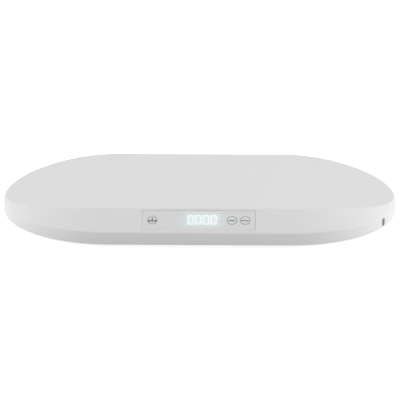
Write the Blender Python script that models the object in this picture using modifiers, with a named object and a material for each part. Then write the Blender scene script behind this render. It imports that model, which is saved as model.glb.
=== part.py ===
# Digital baby weighing scale: a one-piece platform with a cradle pan, a display panel and three
# round keys in its sloping front, and four load-cell feet under a base cover.
# Metres, +Z up, front towards -Y, origin on the floor below the middle of the platform.

from math import atan2, cos, hypot, pi, radians, sin, tan

import bmesh
import bpy
from mathutils import Matrix, Vector

# Platform
OVERALL_LENGTH = 0.550
OVERALL_DEPTH = 0.290
END_REACH = 0.154  # how far each elliptical end runs along X
SKIRT_BOTTOM = 0.006
SKIRT_TOP = 0.0232  # where the upright skirt meets the slope
PAN_LOW = 0.0263  # lowest line of the pan, along X
CREST_HEIGHT = 0.0468  # where the pan meets the slope, front and back
SLOPE = radians(35)
WALL = 0.0026
SHOULDER_RADIUS = 0.003
SKIRT_EDGE = 0.0008

# Clearances shared by all pieces
GAP = 0.0003  # between a piece and its seat
OVERRUN = 0.002  # how far a cutter runs past what it cuts
SINK = 0.0002  # how far joined shapes run into each other
TRAVEL_MARGIN = 0.00005  # what is left between foot and load cell at full load
MERGE_DISTANCE = 0.000001  # points closer than this are one

# Base cover
COVER_RECESS = 0.0006
COVER_THICKNESS = 0.0024
COVER_CLEARANCE = 0.0007
LABEL_LENGTH = 0.070
LABEL_DEPTH = 0.036
LABEL_RECESS = 0.0004
LABEL_SHARE = -0.5  # of the half depth, from the middle

# Feet and load cells
FOOT_X_SHARE = 0.673  # of the half length
FOOT_Y_SHARE = 0.566  # of the half depth
PAD_RADIUS = 0.0135
PAD_THICKNESS = 0.002
PAD_EDGE = 0.0005
FOOT_RIM = 0.001  # height of the foot's rim above the floor
FOOT_RADIUS = 0.015
FOOT_EDGE = 0.0008
FOOT_FLANGE_REACH = 0.0026
FOOT_FLANGE_THICKNESS = 0.0012
FOOT_HOLE_CLEARANCE = 0.0006
NOSE_RADIUS = 0.005
NOSE_HEIGHT = 0.0004
LOAD_TRAVEL = 0.00025
CELL_SIZE = 0.036
CELL_THICKNESS = 0.0016
CELL_CORNER = 0.003
CELL_RIM = 0.0055
CELL_SLOT = 0.0022
CELL_TONGUE = 0.012
CARRIER_WALL = 0.0027
CARRIER_ROOF = 0.0016
CARRIER_RELIEF = 0.0012
CARRIER_CORNER = 0.003
CARRIER_NOTCH = 0.003
RELIEF_RADIUS = 0.013
SEAT_RADIUS = 0.020
SEAT_WALL = 0.0025

# Base screws and their bosses
BOSS_RADIUS = 0.004
SIDE_BOSS_X_SHARE = 0.40
SIDE_BOSS_Y_SHARE = 0.814
END_BOSS_X_SHARE = 0.89
END_BOSS_Y_SHARE = 0.24
SCREW_RADIUS = 0.0013
SCREW_LENGTH = 0.010
SCREW_HEAD_RADIUS = 0.003
SCREW_HEAD_HEIGHT = 0.0014
SCREW_EDGE = 0.0003
COUNTERBORE = 0.0014
SMALL_SCREW_RADIUS = 0.0011
SMALL_SCREW_LENGTH = 0.004
SMALL_HEAD_RADIUS = 0.0021
SMALL_HEAD_HEIGHT = 0.0013

# Display panel, measured in the slope: across, and up the slope from the skirt
LENS_LENGTH = 0.152
LENS_WIDTH = 0.0315
LENS_THICKNESS = 0.0012
LENS_CORNER = 0.0012
LENS_RISE = 0.02125
LEDGE = 0.003
KEY_RISE = 0.0213
LEFT_KEY_MARGIN = 0.0136  # from the panel's end to the middle of its nearest key
RIGHT_KEY_MARGIN = 0.0133
KEY_PITCH = 0.0179
KEY_RADIUS = 0.0068
KEY_CLEARANCE = 0.0003
KEY_PROUD = 0.0002
KEY_EDGE = 0.0002
KEY_TRAVEL = 0.0004
KEY_FLANGE_REACH = 0.0014
KEY_FLANGE_THICKNESS = 0.0011
STEM_RADIUS = 0.0025
STEM_LENGTH = 0.002
SWITCH_SIZE = 0.006
SWITCH_HEIGHT = 0.0026
PLUNGER_RADIUS = 0.0015
PLUNGER_LENGTH = 0.0022
PLUNGER_PROUD = 0.0007
DISPLAY_MARGIN = 0.0154  # from the display's end to the middle of the unit key
DISPLAY_RISE = 0.0221
DISPLAY_LENGTH = 0.048
DISPLAY_WIDTH = 0.0205
DISPLAY_EDGE = 0.0004
BOARD_THICKNESS = 0.0016
DISPLAY_BOARD_WIDTH = 0.028
POST_RADIUS = 0.003
POST_MARGIN = 0.005
POST_SPREAD = 0.018
BOARD_MARGIN = 0.004

# Main board, seen from above
MAIN_BOARD_LENGTH = 0.100
MAIN_BOARD_DEPTH = 0.056
MAIN_BOARD_PLACE = -0.010
STANDOFF_HEIGHT = 0.003
STANDOFF_RADIUS = 0.003
SCREW_INSET = 0.004
PILOT_MARGIN = 0.0003
CONNECTOR_LENGTH = 0.006
CONNECTOR_WIDTH = 0.008
CONNECTOR_HEIGHT = 0.005
CONNECTOR_PITCH_SHARE = 0.5  # of the board's half depth
CHIP_SIZE = 0.014
CHIP_PLACE = -0.014
CHIP_HEIGHT = 0.0015
DISPLAY_LEAD_PLACE = 0.020
BATTERY_LEAD_PLACE = 0.008

# Battery
BATTERY_PLACE = 0.060
BATTERY_LENGTH = 0.060
BATTERY_DEPTH = 0.040
BATTERY_HEIGHT = 0.008
BATTERY_EDGE = 0.0015
TRAY_WALL = 0.0015
TRAY_FLOOR = 0.0012
TRAY_HEIGHT = 0.007
TRAY_CLEARANCE = 0.0005

# Charging socket in the skirt
PORT_ANGLE = radians(-31)  # round the right end's ellipse
PORT_HEIGHT = 0.0137
PORT_WIDTH = 0.008
PORT_TALL = 0.012
NOSE_RECESS = 0.0008
SOCKET_BLOCK_DEPTH = 0.008
SOCKET_BLOCK_WIDTH = 0.012
SOCKET_BLOCK_TOP = 0.0185
MOUTH_WIDTH = 0.0032
MOUTH_TALL = 0.009
MOUTH_DEPTH = 0.006

# Leads
LEAD_RADIUS = 0.0008
LEAD_RUN = 0.008  # length of a lead's straight start and end
LEAD_LANDING = 0.020  # how far before its connector a lead leaves the cover
LEAD_CLIMB = 0.012  # how far before its connector it is half way up
LEAD_LEVEL = 0.006  # how far before its connector it runs straight in

# How finely round shapes are divided
OUTLINE_STEPS = 32
PAN_STEPS = 160
SHOULDER_STEPS = 3
ROUND_STEPS = 24
SMALL_STEPS = 12
SCREW_STEPS = 10
CORNER_STEPS = 4
LEAD_STEPS = 2

# Worked out from the sizes above
half_length = OVERALL_LENGTH / 2
half_depth = OVERALL_DEPTH / 2
end_centre = half_length - END_REACH
crest_y = half_depth - (CREST_HEIGHT - SKIRT_TOP) / tan(SLOPE)
pan_sag = CREST_HEIGHT - PAN_LOW
pan_radius = (crest_y**2 + pan_sag**2) / (2 * pan_sag)
blank_top = CREST_HEIGHT + OVERRUN
cover_bottom = SKIRT_BOTTOM + COVER_RECESS
cover_top = cover_bottom + COVER_THICKNESS
rest_height = cover_top + GAP
foot_x = FOOT_X_SHARE * half_length
foot_y = FOOT_Y_SHARE * half_depth
flange_top = rest_height + FOOT_FLANGE_THICKNESS
nose_top = flange_top + NOSE_HEIGHT
cell_bottom = nose_top + LOAD_TRAVEL + TRAVEL_MARGIN
cell_top = cell_bottom + CELL_THICKNESS
cell_middle = cell_bottom + CELL_THICKNESS / 2
carrier_ceiling = cell_top + GAP
carrier_top = carrier_ceiling + CARRIER_RELIEF + CARRIER_ROOF
carrier_size = CELL_SIZE + 2 * GAP + 2 * CARRIER_WALL
seat_bottom = carrier_top + GAP
lens_seat = LENS_THICKNESS + GAP
flange_depth = lens_seat + KEY_FLANGE_THICKNESS
stem_depth = flange_depth + STEM_LENGTH
plunger_depth = stem_depth + GAP
switch_depth = plunger_depth + PLUNGER_PROUD
board_depth = switch_depth + SWITCH_HEIGHT + GAP
board_back = board_depth + BOARD_THICKNESS
post_place = LENS_LENGTH / 2 + POST_MARGIN
hold_place = LENS_LENGTH / 2 - RIGHT_KEY_MARGIN
unit_place = hold_place - KEY_PITCH
display_place = unit_place - DISPLAY_MARGIN - DISPLAY_LENGTH / 2
main_board_bottom = cover_top + STANDOFF_HEIGHT + GAP
main_board_top = main_board_bottom + BOARD_THICKNESS
connector_middle = main_board_top + CONNECTOR_HEIGHT / 2
lead_rest = rest_height + LEAD_RADIUS
socket_front = WALL + GAP
small_bore = SMALL_SCREW_LENGTH + PILOT_MARGIN
connector_pitch = CONNECTOR_PITCH_SHARE * MAIN_BOARD_DEPTH / 2
key_places = {"tare": LEFT_KEY_MARGIN - LENS_LENGTH / 2, "unit": unit_place, "hold": hold_place}

CORNERS = {
    "front_left": (-1, -1),
    "front_right": (1, -1),
    "back_left": (-1, 1),
    "back_right": (1, 1),
}


def clear_scene():
    for obj in list(bpy.data.objects):
        bpy.data.objects.remove(obj, do_unlink=True)


def new_collection(name):
    collection = bpy.data.collections.new(name)
    bpy.context.scene.collection.children.link(collection)
    return collection


def finish(name, colour, roughness, metallic=0.0):
    material = bpy.data.materials.new(name)
    material.use_nodes = True
    shader = material.node_tree.nodes["Principled BSDF"]
    shader.inputs["Base Color"].default_value = (*colour, 1)
    shader.inputs["Roughness"].default_value = roughness
    shader.inputs["Metallic"].default_value = metallic
    return material


def place(obj, collection, material=None, location=(0, 0, 0), turn=(0, 0, 0), parent=None):
    for held in list(obj.users_collection):
        held.objects.unlink(obj)
    collection.objects.link(obj)
    obj.location = location
    obj.rotation_euler = turn
    obj.parent = parent
    if material:
        obj.data.materials.clear()
        obj.data.materials.append(material)
    if collection is cutters:
        obj.hide_render = True
        obj.display_type = "WIRE"
    return obj


def shade(mesh, angle=radians(30)):
    mesh.shade_smooth()
    mesh.set_sharp_from_angle(angle=angle)


def object_from(bm, name):
    mesh = bpy.data.meshes.new(name)
    bm.to_mesh(mesh)
    bm.free()
    shade(mesh)
    return bpy.data.objects.new(name, mesh)


def box(name, low, high):
    bm = bmesh.new()
    add_box(bm, low, high)
    return object_from(bm, name)


def add_box(bm, low, high):
    low = Vector(low)
    high = Vector(high)
    middle = Matrix.Translation((low + high) / 2)
    bmesh.ops.create_cube(bm, size=1, matrix=middle @ Matrix.Diagonal((*(high - low), 1)))


def add_cylinder(bm, radius, bottom, top, centre=(0, 0), steps=SMALL_STEPS, frame=Matrix()):
    middle = Matrix.Translation((*centre, (bottom + top) / 2))
    bmesh.ops.create_cone(
        bm,
        cap_ends=True,
        segments=steps,
        radius1=radius,
        radius2=radius,
        depth=top - bottom,
        matrix=frame @ middle,
    )


def turned(name, profile, steps, closed=False):
    mesh = bpy.data.meshes.new(name)
    count = len(profile)
    edges = [(i, i + 1) for i in range(count - 1)]
    if closed:
        edges.append((count - 1, 0))
    mesh.from_pydata([(r, 0, z) for r, z in profile], edges, [])
    obj = bpy.data.objects.new(name, mesh)
    screw = obj.modifiers.new("turn", "SCREW")
    screw.axis = "Z"
    screw.steps = steps
    screw.render_steps = steps
    screw.use_smooth_shade = True
    screw.use_merge_vertices = True
    screw.merge_threshold = MERGE_DISTANCE
    return obj


def flat_outline(name, outlines, thickness):
    curve = bpy.data.curves.new(name, "CURVE")
    curve.dimensions = "2D"
    curve.fill_mode = "BOTH"
    curve.extrude = thickness / 2
    for points in outlines:
        spline = curve.splines.new("POLY")
        spline.points.add(len(points) - 1)
        for target, (x, y) in zip(spline.points, points):
            target.co = (x, y, 0, 1)
        spline.use_cyclic_u = True
    return bpy.data.objects.new(name, curve)


def as_mesh(curve_object):
    graph = bpy.context.evaluated_depsgraph_get()
    holder = bpy.context.scene.collection
    holder.objects.link(curve_object)
    graph.update()
    name = curve_object.name
    mesh = bpy.data.meshes.new_from_object(curve_object.evaluated_get(graph))
    bpy.data.objects.remove(curve_object, do_unlink=True)
    bm = bmesh.new()
    bm.from_mesh(mesh)
    bmesh.ops.remove_doubles(bm, verts=bm.verts, dist=MERGE_DISTANCE)
    bm.to_mesh(mesh)
    bm.free()
    shade(mesh)
    mesh.name = name
    return bpy.data.objects.new(name, mesh)


def boolean(target, other, operation):
    modifier = target.modifiers.new(operation.lower(), "BOOLEAN")
    modifier.operation = operation
    modifier.object = other


def bevelled(obj, width):
    bevel = obj.modifiers.new("edges", "BEVEL")
    bevel.width = width
    bevel.segments = 2
    bevel.limit_method = "ANGLE"
    return obj


def rounded_rectangle(length, width, radius, centre=(0, 0)):
    points = []
    for quarter in range(4):
        start = quarter * pi / 2
        side_x = 1 if quarter in (0, 3) else -1
        side_y = 1 if quarter in (0, 1) else -1
        corner_x = centre[0] + side_x * (length / 2 - radius)
        corner_y = centre[1] + side_y * (width / 2 - radius)
        for step in range(CORNER_STEPS + 1):
            angle = start + step / CORNER_STEPS * pi / 2
            points.append((corner_x + radius * cos(angle), corner_y + radius * sin(angle)))
    return points


def circle(radius, centre, steps):
    turns = [2 * pi * step / steps for step in range(steps)]
    return [(centre[0] + radius * cos(a), centre[1] + radius * sin(a)) for a in turns]


# The plan outline: straight sides between two half ellipses, moved inwards by an inset
def plan_point(side, angle, inset):
    across = half_depth * cos(angle)
    along = END_REACH * sin(angle)
    size = hypot(across, along)
    x = side * end_centre + END_REACH * cos(angle) - inset * across / size
    y = half_depth * sin(angle) - inset * along / size
    return x, y


def plan_outline(inset):
    points = []
    for side, start in ((1, -pi / 2), (-1, pi / 2)):
        for step in range(OUTLINE_STEPS + 1):
            points.append(plan_point(side, start + pi * step / OUTLINE_STEPS, inset))
    return points


def lofted(name, sections):
    bm = bmesh.new()
    rings = [[bm.verts.new((x, y, z)) for x, y in plan_outline(inset)] for inset, z in sections]
    for lower, upper in zip(rings, rings[1:]):
        for i, corner in enumerate(lower):
            j = (i + 1) % len(lower)
            bm.faces.new((corner, lower[j], upper[j], upper[i]))
    bm.faces.new(reversed(rings[0]))
    bm.faces.new(rings[-1])
    return object_from(bm, name)


def slope_inset(height, wall):
    return (height - SKIRT_TOP) / tan(SLOPE) + wall / sin(SLOPE)


def outer_sections():
    turn = pi / 2 - SLOPE
    start = SKIRT_TOP - SHOULDER_RADIUS * tan(turn / 2)
    sections = [(SKIRT_EDGE, SKIRT_BOTTOM), (0, SKIRT_BOTTOM + SKIRT_EDGE)]
    for step in range(SHOULDER_STEPS + 1):
        angle = turn * step / SHOULDER_STEPS
        sections.append((SHOULDER_RADIUS * (1 - cos(angle)), start + SHOULDER_RADIUS * sin(angle)))
    sections.append((slope_inset(blank_top, 0), blank_top))
    return sections


def inner_sections():
    corner = SKIRT_TOP - WALL * (1 / cos(SLOPE) - tan(SLOPE))
    return [
        (WALL, SKIRT_BOTTOM - OVERRUN),
        (WALL, corner),
        (slope_inset(blank_top, WALL), blank_top),
    ]


def pan_cutter(name, growth):
    bm = bmesh.new()
    along_x = Matrix.Rotation(pi / 2, 4, "Y")
    lift = Matrix.Translation((0, 0, PAN_LOW + pan_radius))
    reach = half_length + OVERRUN
    add_cylinder(bm, pan_radius + growth, -reach, reach, steps=PAN_STEPS, frame=lift @ along_x)
    return place(object_from(bm, name), cutters)


def boss_places():
    side = (SIDE_BOSS_X_SHARE * half_length, SIDE_BOSS_Y_SHARE * half_depth)
    end = (END_BOSS_X_SHARE * half_length, END_BOSS_Y_SHARE * half_depth)
    return [(sx * x, sy * y) for x, y in (side, end) for sx, sy in CORNERS.values()]


def post_places():
    rises = (LENS_RISE - POST_SPREAD / 2, LENS_RISE + POST_SPREAD / 2)
    return [(sx * post_place, rise) for sx in (-1, 1) for rise in rises]


def cylinders(name, places, radius, bottom, top, frame=Matrix()):
    bm = bmesh.new()
    for centre in places:
        add_cylinder(bm, radius, bottom, top, centre, frame=frame)
    return place(object_from(bm, name), cutters)


def port_frame():
    x, y = plan_point(1, PORT_ANGLE, 0)
    inner_x, inner_y = plan_point(1, PORT_ANGLE, WALL)
    return (x, y, PORT_HEIGHT), atan2(y - inner_y, x - inner_x)


# An upright slot with round ends, facing along local X
def upright_slot(name, width, tall, inner, outer):
    outline = rounded_rectangle(width, tall, width / 2 - SINK / 2)
    obj = as_mesh(flat_outline(name, [outline], outer - inner))
    stand = Matrix(((0, 0, 1, 0), (1, 0, 0, 0), (0, 1, 0, 0), (0, 0, 0, 1)))
    obj.data.transform(Matrix.Translation(((inner + outer) / 2, 0, 0)) @ stand)
    return obj


def make_platform():
    shell = place(lofted("platform_shell", outer_sections()), parts, white_plastic)
    boolean(shell, pan_cutter("pan_hollow", 0), "DIFFERENCE")

    cavity = place(lofted("shell_cavity", inner_sections()), cutters)
    boolean(cavity, pan_cutter("pan_underside", WALL), "DIFFERENCE")
    bosses = cylinders("screw_bosses", boss_places(), BOSS_RADIUS, rest_height, blank_top)
    boolean(cavity, bosses, "DIFFERENCE")
    posts = cylinders("display_posts", post_places(), POST_RADIUS, GAP - board_depth, 0, slope_frame)
    boolean(cavity, posts, "DIFFERENCE")
    inner = SEAT_RADIUS - SEAT_WALL
    ring = [(SEAT_RADIUS, blank_top), (SEAT_RADIUS, seat_bottom), (inner, seat_bottom), (inner, blank_top)]
    for corner, (sx, sy) in CORNERS.items():
        seat = turned("load_cell_seat_" + corner, ring, ROUND_STEPS, closed=True)
        place(seat, cutters, location=(sx * foot_x, sy * foot_y, 0))
        boolean(cavity, seat, "DIFFERENCE")
    boolean(shell, cavity, "DIFFERENCE")

    length = LENS_LENGTH + 2 * GAP
    width = LENS_WIDTH + 2 * GAP
    outline = rounded_rectangle(length, width, LENS_CORNER)
    pocket = as_mesh(flat_outline("lens_pocket", [outline], 2 * lens_seat))
    place(pocket, cutters, location=(0, LENS_RISE, 0), parent=slope_empty)
    boolean(shell, pocket, "DIFFERENCE")
    half_window = (LENS_LENGTH / 2 - LEDGE, LENS_WIDTH / 2 - LEDGE)
    window = box(
        "lens_window",
        (-half_window[0], -half_window[1], -WALL - OVERRUN),
        (half_window[0], half_window[1], OVERRUN),
    )
    place(window, cutters, location=(0, LENS_RISE, 0), parent=slope_empty)
    boolean(shell, window, "DIFFERENCE")

    hole = upright_slot("port_hole", PORT_WIDTH, PORT_TALL, -WALL - OVERRUN, OVERRUN)
    place(hole, cutters, parent=port_empty)
    boolean(shell, hole, "DIFFERENCE")

    bore_top = cover_bottom + COUNTERBORE + SCREW_LENGTH
    bores = cylinders("boss_bores", boss_places(), SCREW_RADIUS + GAP, SKIRT_BOTTOM, bore_top)
    boolean(shell, bores, "DIFFERENCE")
    post_bore = board_back + GAP - SMALL_SCREW_LENGTH - PILOT_MARGIN
    radius = SMALL_SCREW_RADIUS + GAP
    post_bores = cylinders("post_bores", post_places(), radius, -board_back, -post_bore, slope_frame)
    boolean(shell, post_bores, "DIFFERENCE")


def standoff_places():
    x = MAIN_BOARD_LENGTH / 2 - SCREW_INSET
    y = MAIN_BOARD_DEPTH / 2 - SCREW_INSET
    return [(sx * x, MAIN_BOARD_PLACE + sy * y) for sx, sy in CORNERS.values()]


def foot_places():
    return [(sx * foot_x, sy * foot_y) for sx, sy in CORNERS.values()]


def make_base_cover():
    outline = plan_outline(WALL + COVER_CLEARANCE)
    cover = as_mesh(flat_outline("base_cover", [outline], COVER_THICKNESS))
    cover.data.transform(Matrix.Translation((0, 0, (cover_bottom + cover_top) / 2)))
    place(cover, parts, white_plastic)
    standoff_top = cover_top + STANDOFF_HEIGHT
    standoffs = cylinders("standoffs", standoff_places(), STANDOFF_RADIUS, cover_top - SINK, standoff_top)
    boolean(cover, standoffs, "UNION")
    pilot_bottom = main_board_top + GAP - small_bore
    radius = SMALL_SCREW_RADIUS + GAP
    pilots = cylinders("standoff_bores", standoff_places(), radius, pilot_bottom, standoff_top + OVERRUN)
    boolean(cover, pilots, "DIFFERENCE")

    bm = bmesh.new()
    for centre in foot_places():
        radius = FOOT_RADIUS + FOOT_HOLE_CLEARANCE
        add_cylinder(bm, radius, cover_bottom - OVERRUN, cover_top + OVERRUN, centre, ROUND_STEPS)
    for centre in boss_places():
        radius = SCREW_RADIUS + GAP
        add_cylinder(bm, radius, cover_bottom - OVERRUN, cover_top + OVERRUN, centre)
    boolean(cover, place(object_from(bm, "cover_holes"), cutters), "DIFFERENCE")
    head_room = cylinders(
        "counterbores",
        boss_places(),
        SCREW_HEAD_RADIUS + GAP,
        cover_bottom - OVERRUN,
        cover_bottom + COUNTERBORE,
    )
    boolean(cover, head_room, "DIFFERENCE")

    label_y = LABEL_SHARE * half_depth
    label = box(
        "label_recess",
        (-LABEL_LENGTH / 2, label_y - LABEL_DEPTH / 2, cover_bottom - OVERRUN),
        (LABEL_LENGTH / 2, label_y + LABEL_DEPTH / 2, cover_bottom + LABEL_RECESS),
    )
    boolean(cover, place(label, cutters), "DIFFERENCE")


# A pan-head screw along local Z, its head's underside at zero
def screw_profile(radius, length, head_radius, head_height):
    return [
        (0, head_height / 2),
        (head_radius / 3, head_height),
        (head_radius - SCREW_EDGE, head_height),
        (head_radius, head_height - SCREW_EDGE),
        (head_radius, 0),
        (radius, 0),
        (radius, -length + radius),
        (0, -length),
    ]


def make_screws(name, places, profile, height, frame_parent=None, turn=(0, 0, 0)):
    for number, (x, y) in enumerate(places, 1):
        screw = turned(f"{name}_{number}", profile, SCREW_STEPS)
        place(screw, parts, zinc_steel, (x, y, height), turn, frame_parent)


def make_all_screws():
    base = screw_profile(SCREW_RADIUS, SCREW_LENGTH, SCREW_HEAD_RADIUS, SCREW_HEAD_HEIGHT)
    make_screws("base_screw", boss_places(), base, cover_bottom + COUNTERBORE - GAP, turn=(pi, 0, 0))
    small = screw_profile(SMALL_SCREW_RADIUS, SMALL_SCREW_LENGTH, SMALL_HEAD_RADIUS, SMALL_HEAD_HEIGHT)
    make_screws("main_board_screw", standoff_places(), small, main_board_top + GAP)
    make_screws("display_board_screw", post_places(), small, -board_back - GAP, slope_empty, (pi, 0, 0))


def make_feet():
    recess = PAD_RADIUS + GAP
    flange = FOOT_RADIUS + FOOT_FLANGE_REACH
    foot_profile = [
        (0, nose_top),
        (NOSE_RADIUS, nose_top),
        (NOSE_RADIUS, flange_top),
        (flange, flange_top),
        (flange, rest_height),
        (FOOT_RADIUS, rest_height),
        (FOOT_RADIUS, FOOT_RIM + FOOT_EDGE),
        (FOOT_RADIUS - FOOT_EDGE, FOOT_RIM),
        (recess, FOOT_RIM),
        (recess, PAD_THICKNESS + GAP),
        (0, PAD_THICKNESS + GAP),
    ]
    pad_profile = [
        (0, PAD_THICKNESS),
        (PAD_RADIUS, PAD_THICKNESS),
        (PAD_RADIUS, PAD_EDGE),
        (PAD_RADIUS - PAD_EDGE, 0),
        (0, 0),
    ]
    for corner, (sx, sy) in CORNERS.items():
        where = (sx * foot_x, sy * foot_y, 0)
        place(turned("foot_" + corner, foot_profile, ROUND_STEPS), parts, white_plastic, where)
        place(turned("foot_pad_" + corner, pad_profile, ROUND_STEPS), parts, grey_rubber, where)


def cell_slot():
    inner = CELL_TONGUE / 2
    outer = inner + CELL_SLOT
    top = CELL_SIZE / 2 - CELL_RIM
    bottom = -top
    return [
        (inner, top),
        (inner, bottom + CELL_SLOT),
        (-inner, bottom + CELL_SLOT),
        (-inner, top),
        (-outer, top),
        (-outer, bottom),
        (outer, bottom),
        (outer, top),
    ]


def make_load_cells():
    square = rounded_rectangle(CELL_SIZE, CELL_SIZE, CELL_CORNER)
    half = carrier_size / 2
    pocket_half = CELL_SIZE / 2 + GAP
    for corner, (sx, sy) in CORNERS.items():
        where = (sx * foot_x, sy * foot_y, 0)
        cell = flat_outline("load_cell_" + corner, [square, cell_slot()], CELL_THICKNESS)
        place(cell, parts, zinc_steel, (where[0], where[1], cell_middle))

        outline = rounded_rectangle(carrier_size, carrier_size, CARRIER_CORNER)
        carrier = as_mesh(flat_outline("load_cell_carrier_" + corner, [outline], carrier_top - rest_height))
        carrier.data.transform(Matrix.Translation((0, 0, (carrier_top + rest_height) / 2)))
        place(carrier, parts, black_plastic, where)
        pocket = box(
            "cell_pocket_" + corner,
            (-pocket_half, -pocket_half, rest_height - OVERRUN),
            (pocket_half, pocket_half, carrier_ceiling),
        )
        boolean(carrier, place(pocket, cutters, location=where), "DIFFERENCE")
        bm = bmesh.new()
        add_cylinder(bm, RELIEF_RADIUS, cell_middle, carrier_ceiling + CARRIER_RELIEF, steps=ROUND_STEPS)
        relief = object_from(bm, "cell_relief_" + corner)
        boolean(carrier, place(relief, cutters, location=where), "DIFFERENCE")
        side = -sx
        notch_ends = sorted((side * (pocket_half - OVERRUN), side * (half + OVERRUN)))
        notch = box(
            "lead_notch_" + corner,
            (notch_ends[0], -CARRIER_NOTCH / 2, cell_middle - LEAD_RADIUS - GAP),
            (notch_ends[1], CARRIER_NOTCH / 2, cell_middle + LEAD_RADIUS + GAP),
        )
        boolean(carrier, place(notch, cutters, location=where), "DIFFERENCE")


def make_display_panel():
    outlines = [rounded_rectangle(LENS_LENGTH, LENS_WIDTH, LENS_CORNER, (0, LENS_RISE))]
    for across in key_places.values():
        outlines.append(circle(KEY_RADIUS + KEY_CLEARANCE, (across, KEY_RISE), ROUND_STEPS))
    lens = flat_outline("display_lens", outlines, LENS_THICKNESS)
    place(lens, parts, panel_plastic, (0, 0, -LENS_THICKNESS / 2), parent=slope_empty)

    flange = KEY_RADIUS + KEY_FLANGE_REACH
    key_profile = [
        (0, KEY_PROUD),
        (KEY_RADIUS - KEY_EDGE, KEY_PROUD),
        (KEY_RADIUS, KEY_PROUD - KEY_EDGE),
        (KEY_RADIUS, -lens_seat),
        (flange, -lens_seat),
        (flange, -flange_depth),
        (STEM_RADIUS, -flange_depth),
        (STEM_RADIUS, -stem_depth),
        (0, -stem_depth),
    ]
    plunger_bottom = plunger_depth + PLUNGER_LENGTH
    plunger_profile = [
        (0, -plunger_depth),
        (PLUNGER_RADIUS, -plunger_depth),
        (PLUNGER_RADIUS, -plunger_bottom),
        (0, -plunger_bottom),
    ]
    half = SWITCH_SIZE / 2
    for key, across in key_places.items():
        where = (across, KEY_RISE, 0)
        cap = turned("key_" + key, key_profile, ROUND_STEPS)
        place(cap, parts, panel_plastic, where, parent=slope_empty)
        plunger = turned("switch_plunger_" + key, plunger_profile, SMALL_STEPS)
        place(plunger, parts, black_plastic, where, parent=slope_empty)
        switch = box("switch_" + key, (-half, -half, GAP - board_depth), (half, half, -switch_depth))
        place(switch, parts, zinc_steel, where, parent=slope_empty)
        bm = bmesh.new()
        bore_end = plunger_bottom + KEY_TRAVEL + PILOT_MARGIN / 2
        add_cylinder(bm, PLUNGER_RADIUS + GAP, -bore_end, OVERRUN - switch_depth)
        bore = place(object_from(bm, "plunger_bore_" + key), cutters, location=where, parent=slope_empty)
        boolean(switch, bore, "DIFFERENCE")


def make_display_board():
    half = post_place + BOARD_MARGIN
    low = LENS_RISE - DISPLAY_BOARD_WIDTH / 2
    high = LENS_RISE + DISPLAY_BOARD_WIDTH / 2
    board = box("display_board", (-half, low, -board_back), (half, high, -board_depth))
    place(board, parts, green_board, parent=slope_empty)
    radius = SMALL_SCREW_RADIUS + GAP
    bottom = -board_back - OVERRUN
    holes = cylinders("display_board_holes", post_places(), radius, bottom, OVERRUN - board_depth)
    place(holes, cutters, parent=slope_empty)
    boolean(board, holes, "DIFFERENCE")
    socket = box(
        "display_board_connector",
        (DISPLAY_LEAD_PLACE - CONNECTOR_WIDTH / 2, low + SCREW_INSET, -board_back - CONNECTOR_HEIGHT),
        (DISPLAY_LEAD_PLACE + CONNECTOR_WIDTH / 2, low + SCREW_INSET + CONNECTOR_LENGTH, SINK - board_back),
    )
    place(socket, cutters, parent=slope_empty)
    boolean(board, socket, "UNION")

    display = box(
        "digit_display",
        (-DISPLAY_LENGTH / 2, -DISPLAY_WIDTH / 2, GAP - board_depth),
        (DISPLAY_LENGTH / 2, DISPLAY_WIDTH / 2, -lens_seat),
    )
    bevelled(display, DISPLAY_EDGE)
    where = (display_place, DISPLAY_RISE, 0)
    place(display, parts, display_plastic, where, parent=slope_empty)


# Places of the main board's connectors: centre, and which way each faces
def connectors():
    edge_x = MAIN_BOARD_LENGTH / 2
    front = MAIN_BOARD_PLACE - MAIN_BOARD_DEPTH / 2
    back = MAIN_BOARD_PLACE + MAIN_BOARD_DEPTH / 2
    return {
        "front_left": ((-edge_x, MAIN_BOARD_PLACE - connector_pitch), (-1, 0)),
        "back_left": ((-edge_x, MAIN_BOARD_PLACE + connector_pitch), (-1, 0)),
        "front_right": ((edge_x, MAIN_BOARD_PLACE - connector_pitch), (1, 0)),
        "back_right": ((edge_x, MAIN_BOARD_PLACE + connector_pitch), (1, 0)),
        "charging": ((edge_x, MAIN_BOARD_PLACE), (1, 0)),
        "display": ((DISPLAY_LEAD_PLACE, front), (0, -1)),
        "battery": ((BATTERY_LEAD_PLACE, back), (0, 1)),
    }


def make_main_board():
    x = MAIN_BOARD_LENGTH / 2
    y = MAIN_BOARD_DEPTH / 2
    board = box(
        "main_board",
        (-x, MAIN_BOARD_PLACE - y, main_board_bottom),
        (x, MAIN_BOARD_PLACE + y, main_board_top),
    )
    place(board, parts, green_board)
    radius = SMALL_SCREW_RADIUS + GAP
    top = main_board_top + OVERRUN
    holes = cylinders("main_board_holes", standoff_places(), radius, main_board_bottom - OVERRUN, top)
    boolean(board, holes, "DIFFERENCE")
    sunk = main_board_top - SINK
    connector_top = main_board_top + CONNECTOR_HEIGHT
    bm = bmesh.new()
    for (cx, cy), (face_x, face_y) in connectors().values():
        across = (abs(face_y) * CONNECTOR_WIDTH / 2, abs(face_x) * CONNECTOR_WIDTH / 2)
        inner = (cx - face_x * CONNECTOR_LENGTH, cy - face_y * CONNECTOR_LENGTH)
        low_x = min(cx, inner[0]) - across[0]
        high_x = max(cx, inner[0]) + across[0]
        low_y = min(cy, inner[1]) - across[1]
        high_y = max(cy, inner[1]) + across[1]
        add_box(bm, (low_x, low_y, sunk), (high_x, high_y, connector_top))
    chip = CHIP_SIZE / 2
    add_box(
        bm,
        (CHIP_PLACE - chip, MAIN_BOARD_PLACE - chip, sunk),
        (CHIP_PLACE + chip, MAIN_BOARD_PLACE + chip, main_board_top + CHIP_HEIGHT),
    )
    boolean(board, place(object_from(bm, "main_board_components"), cutters), "UNION")


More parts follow.
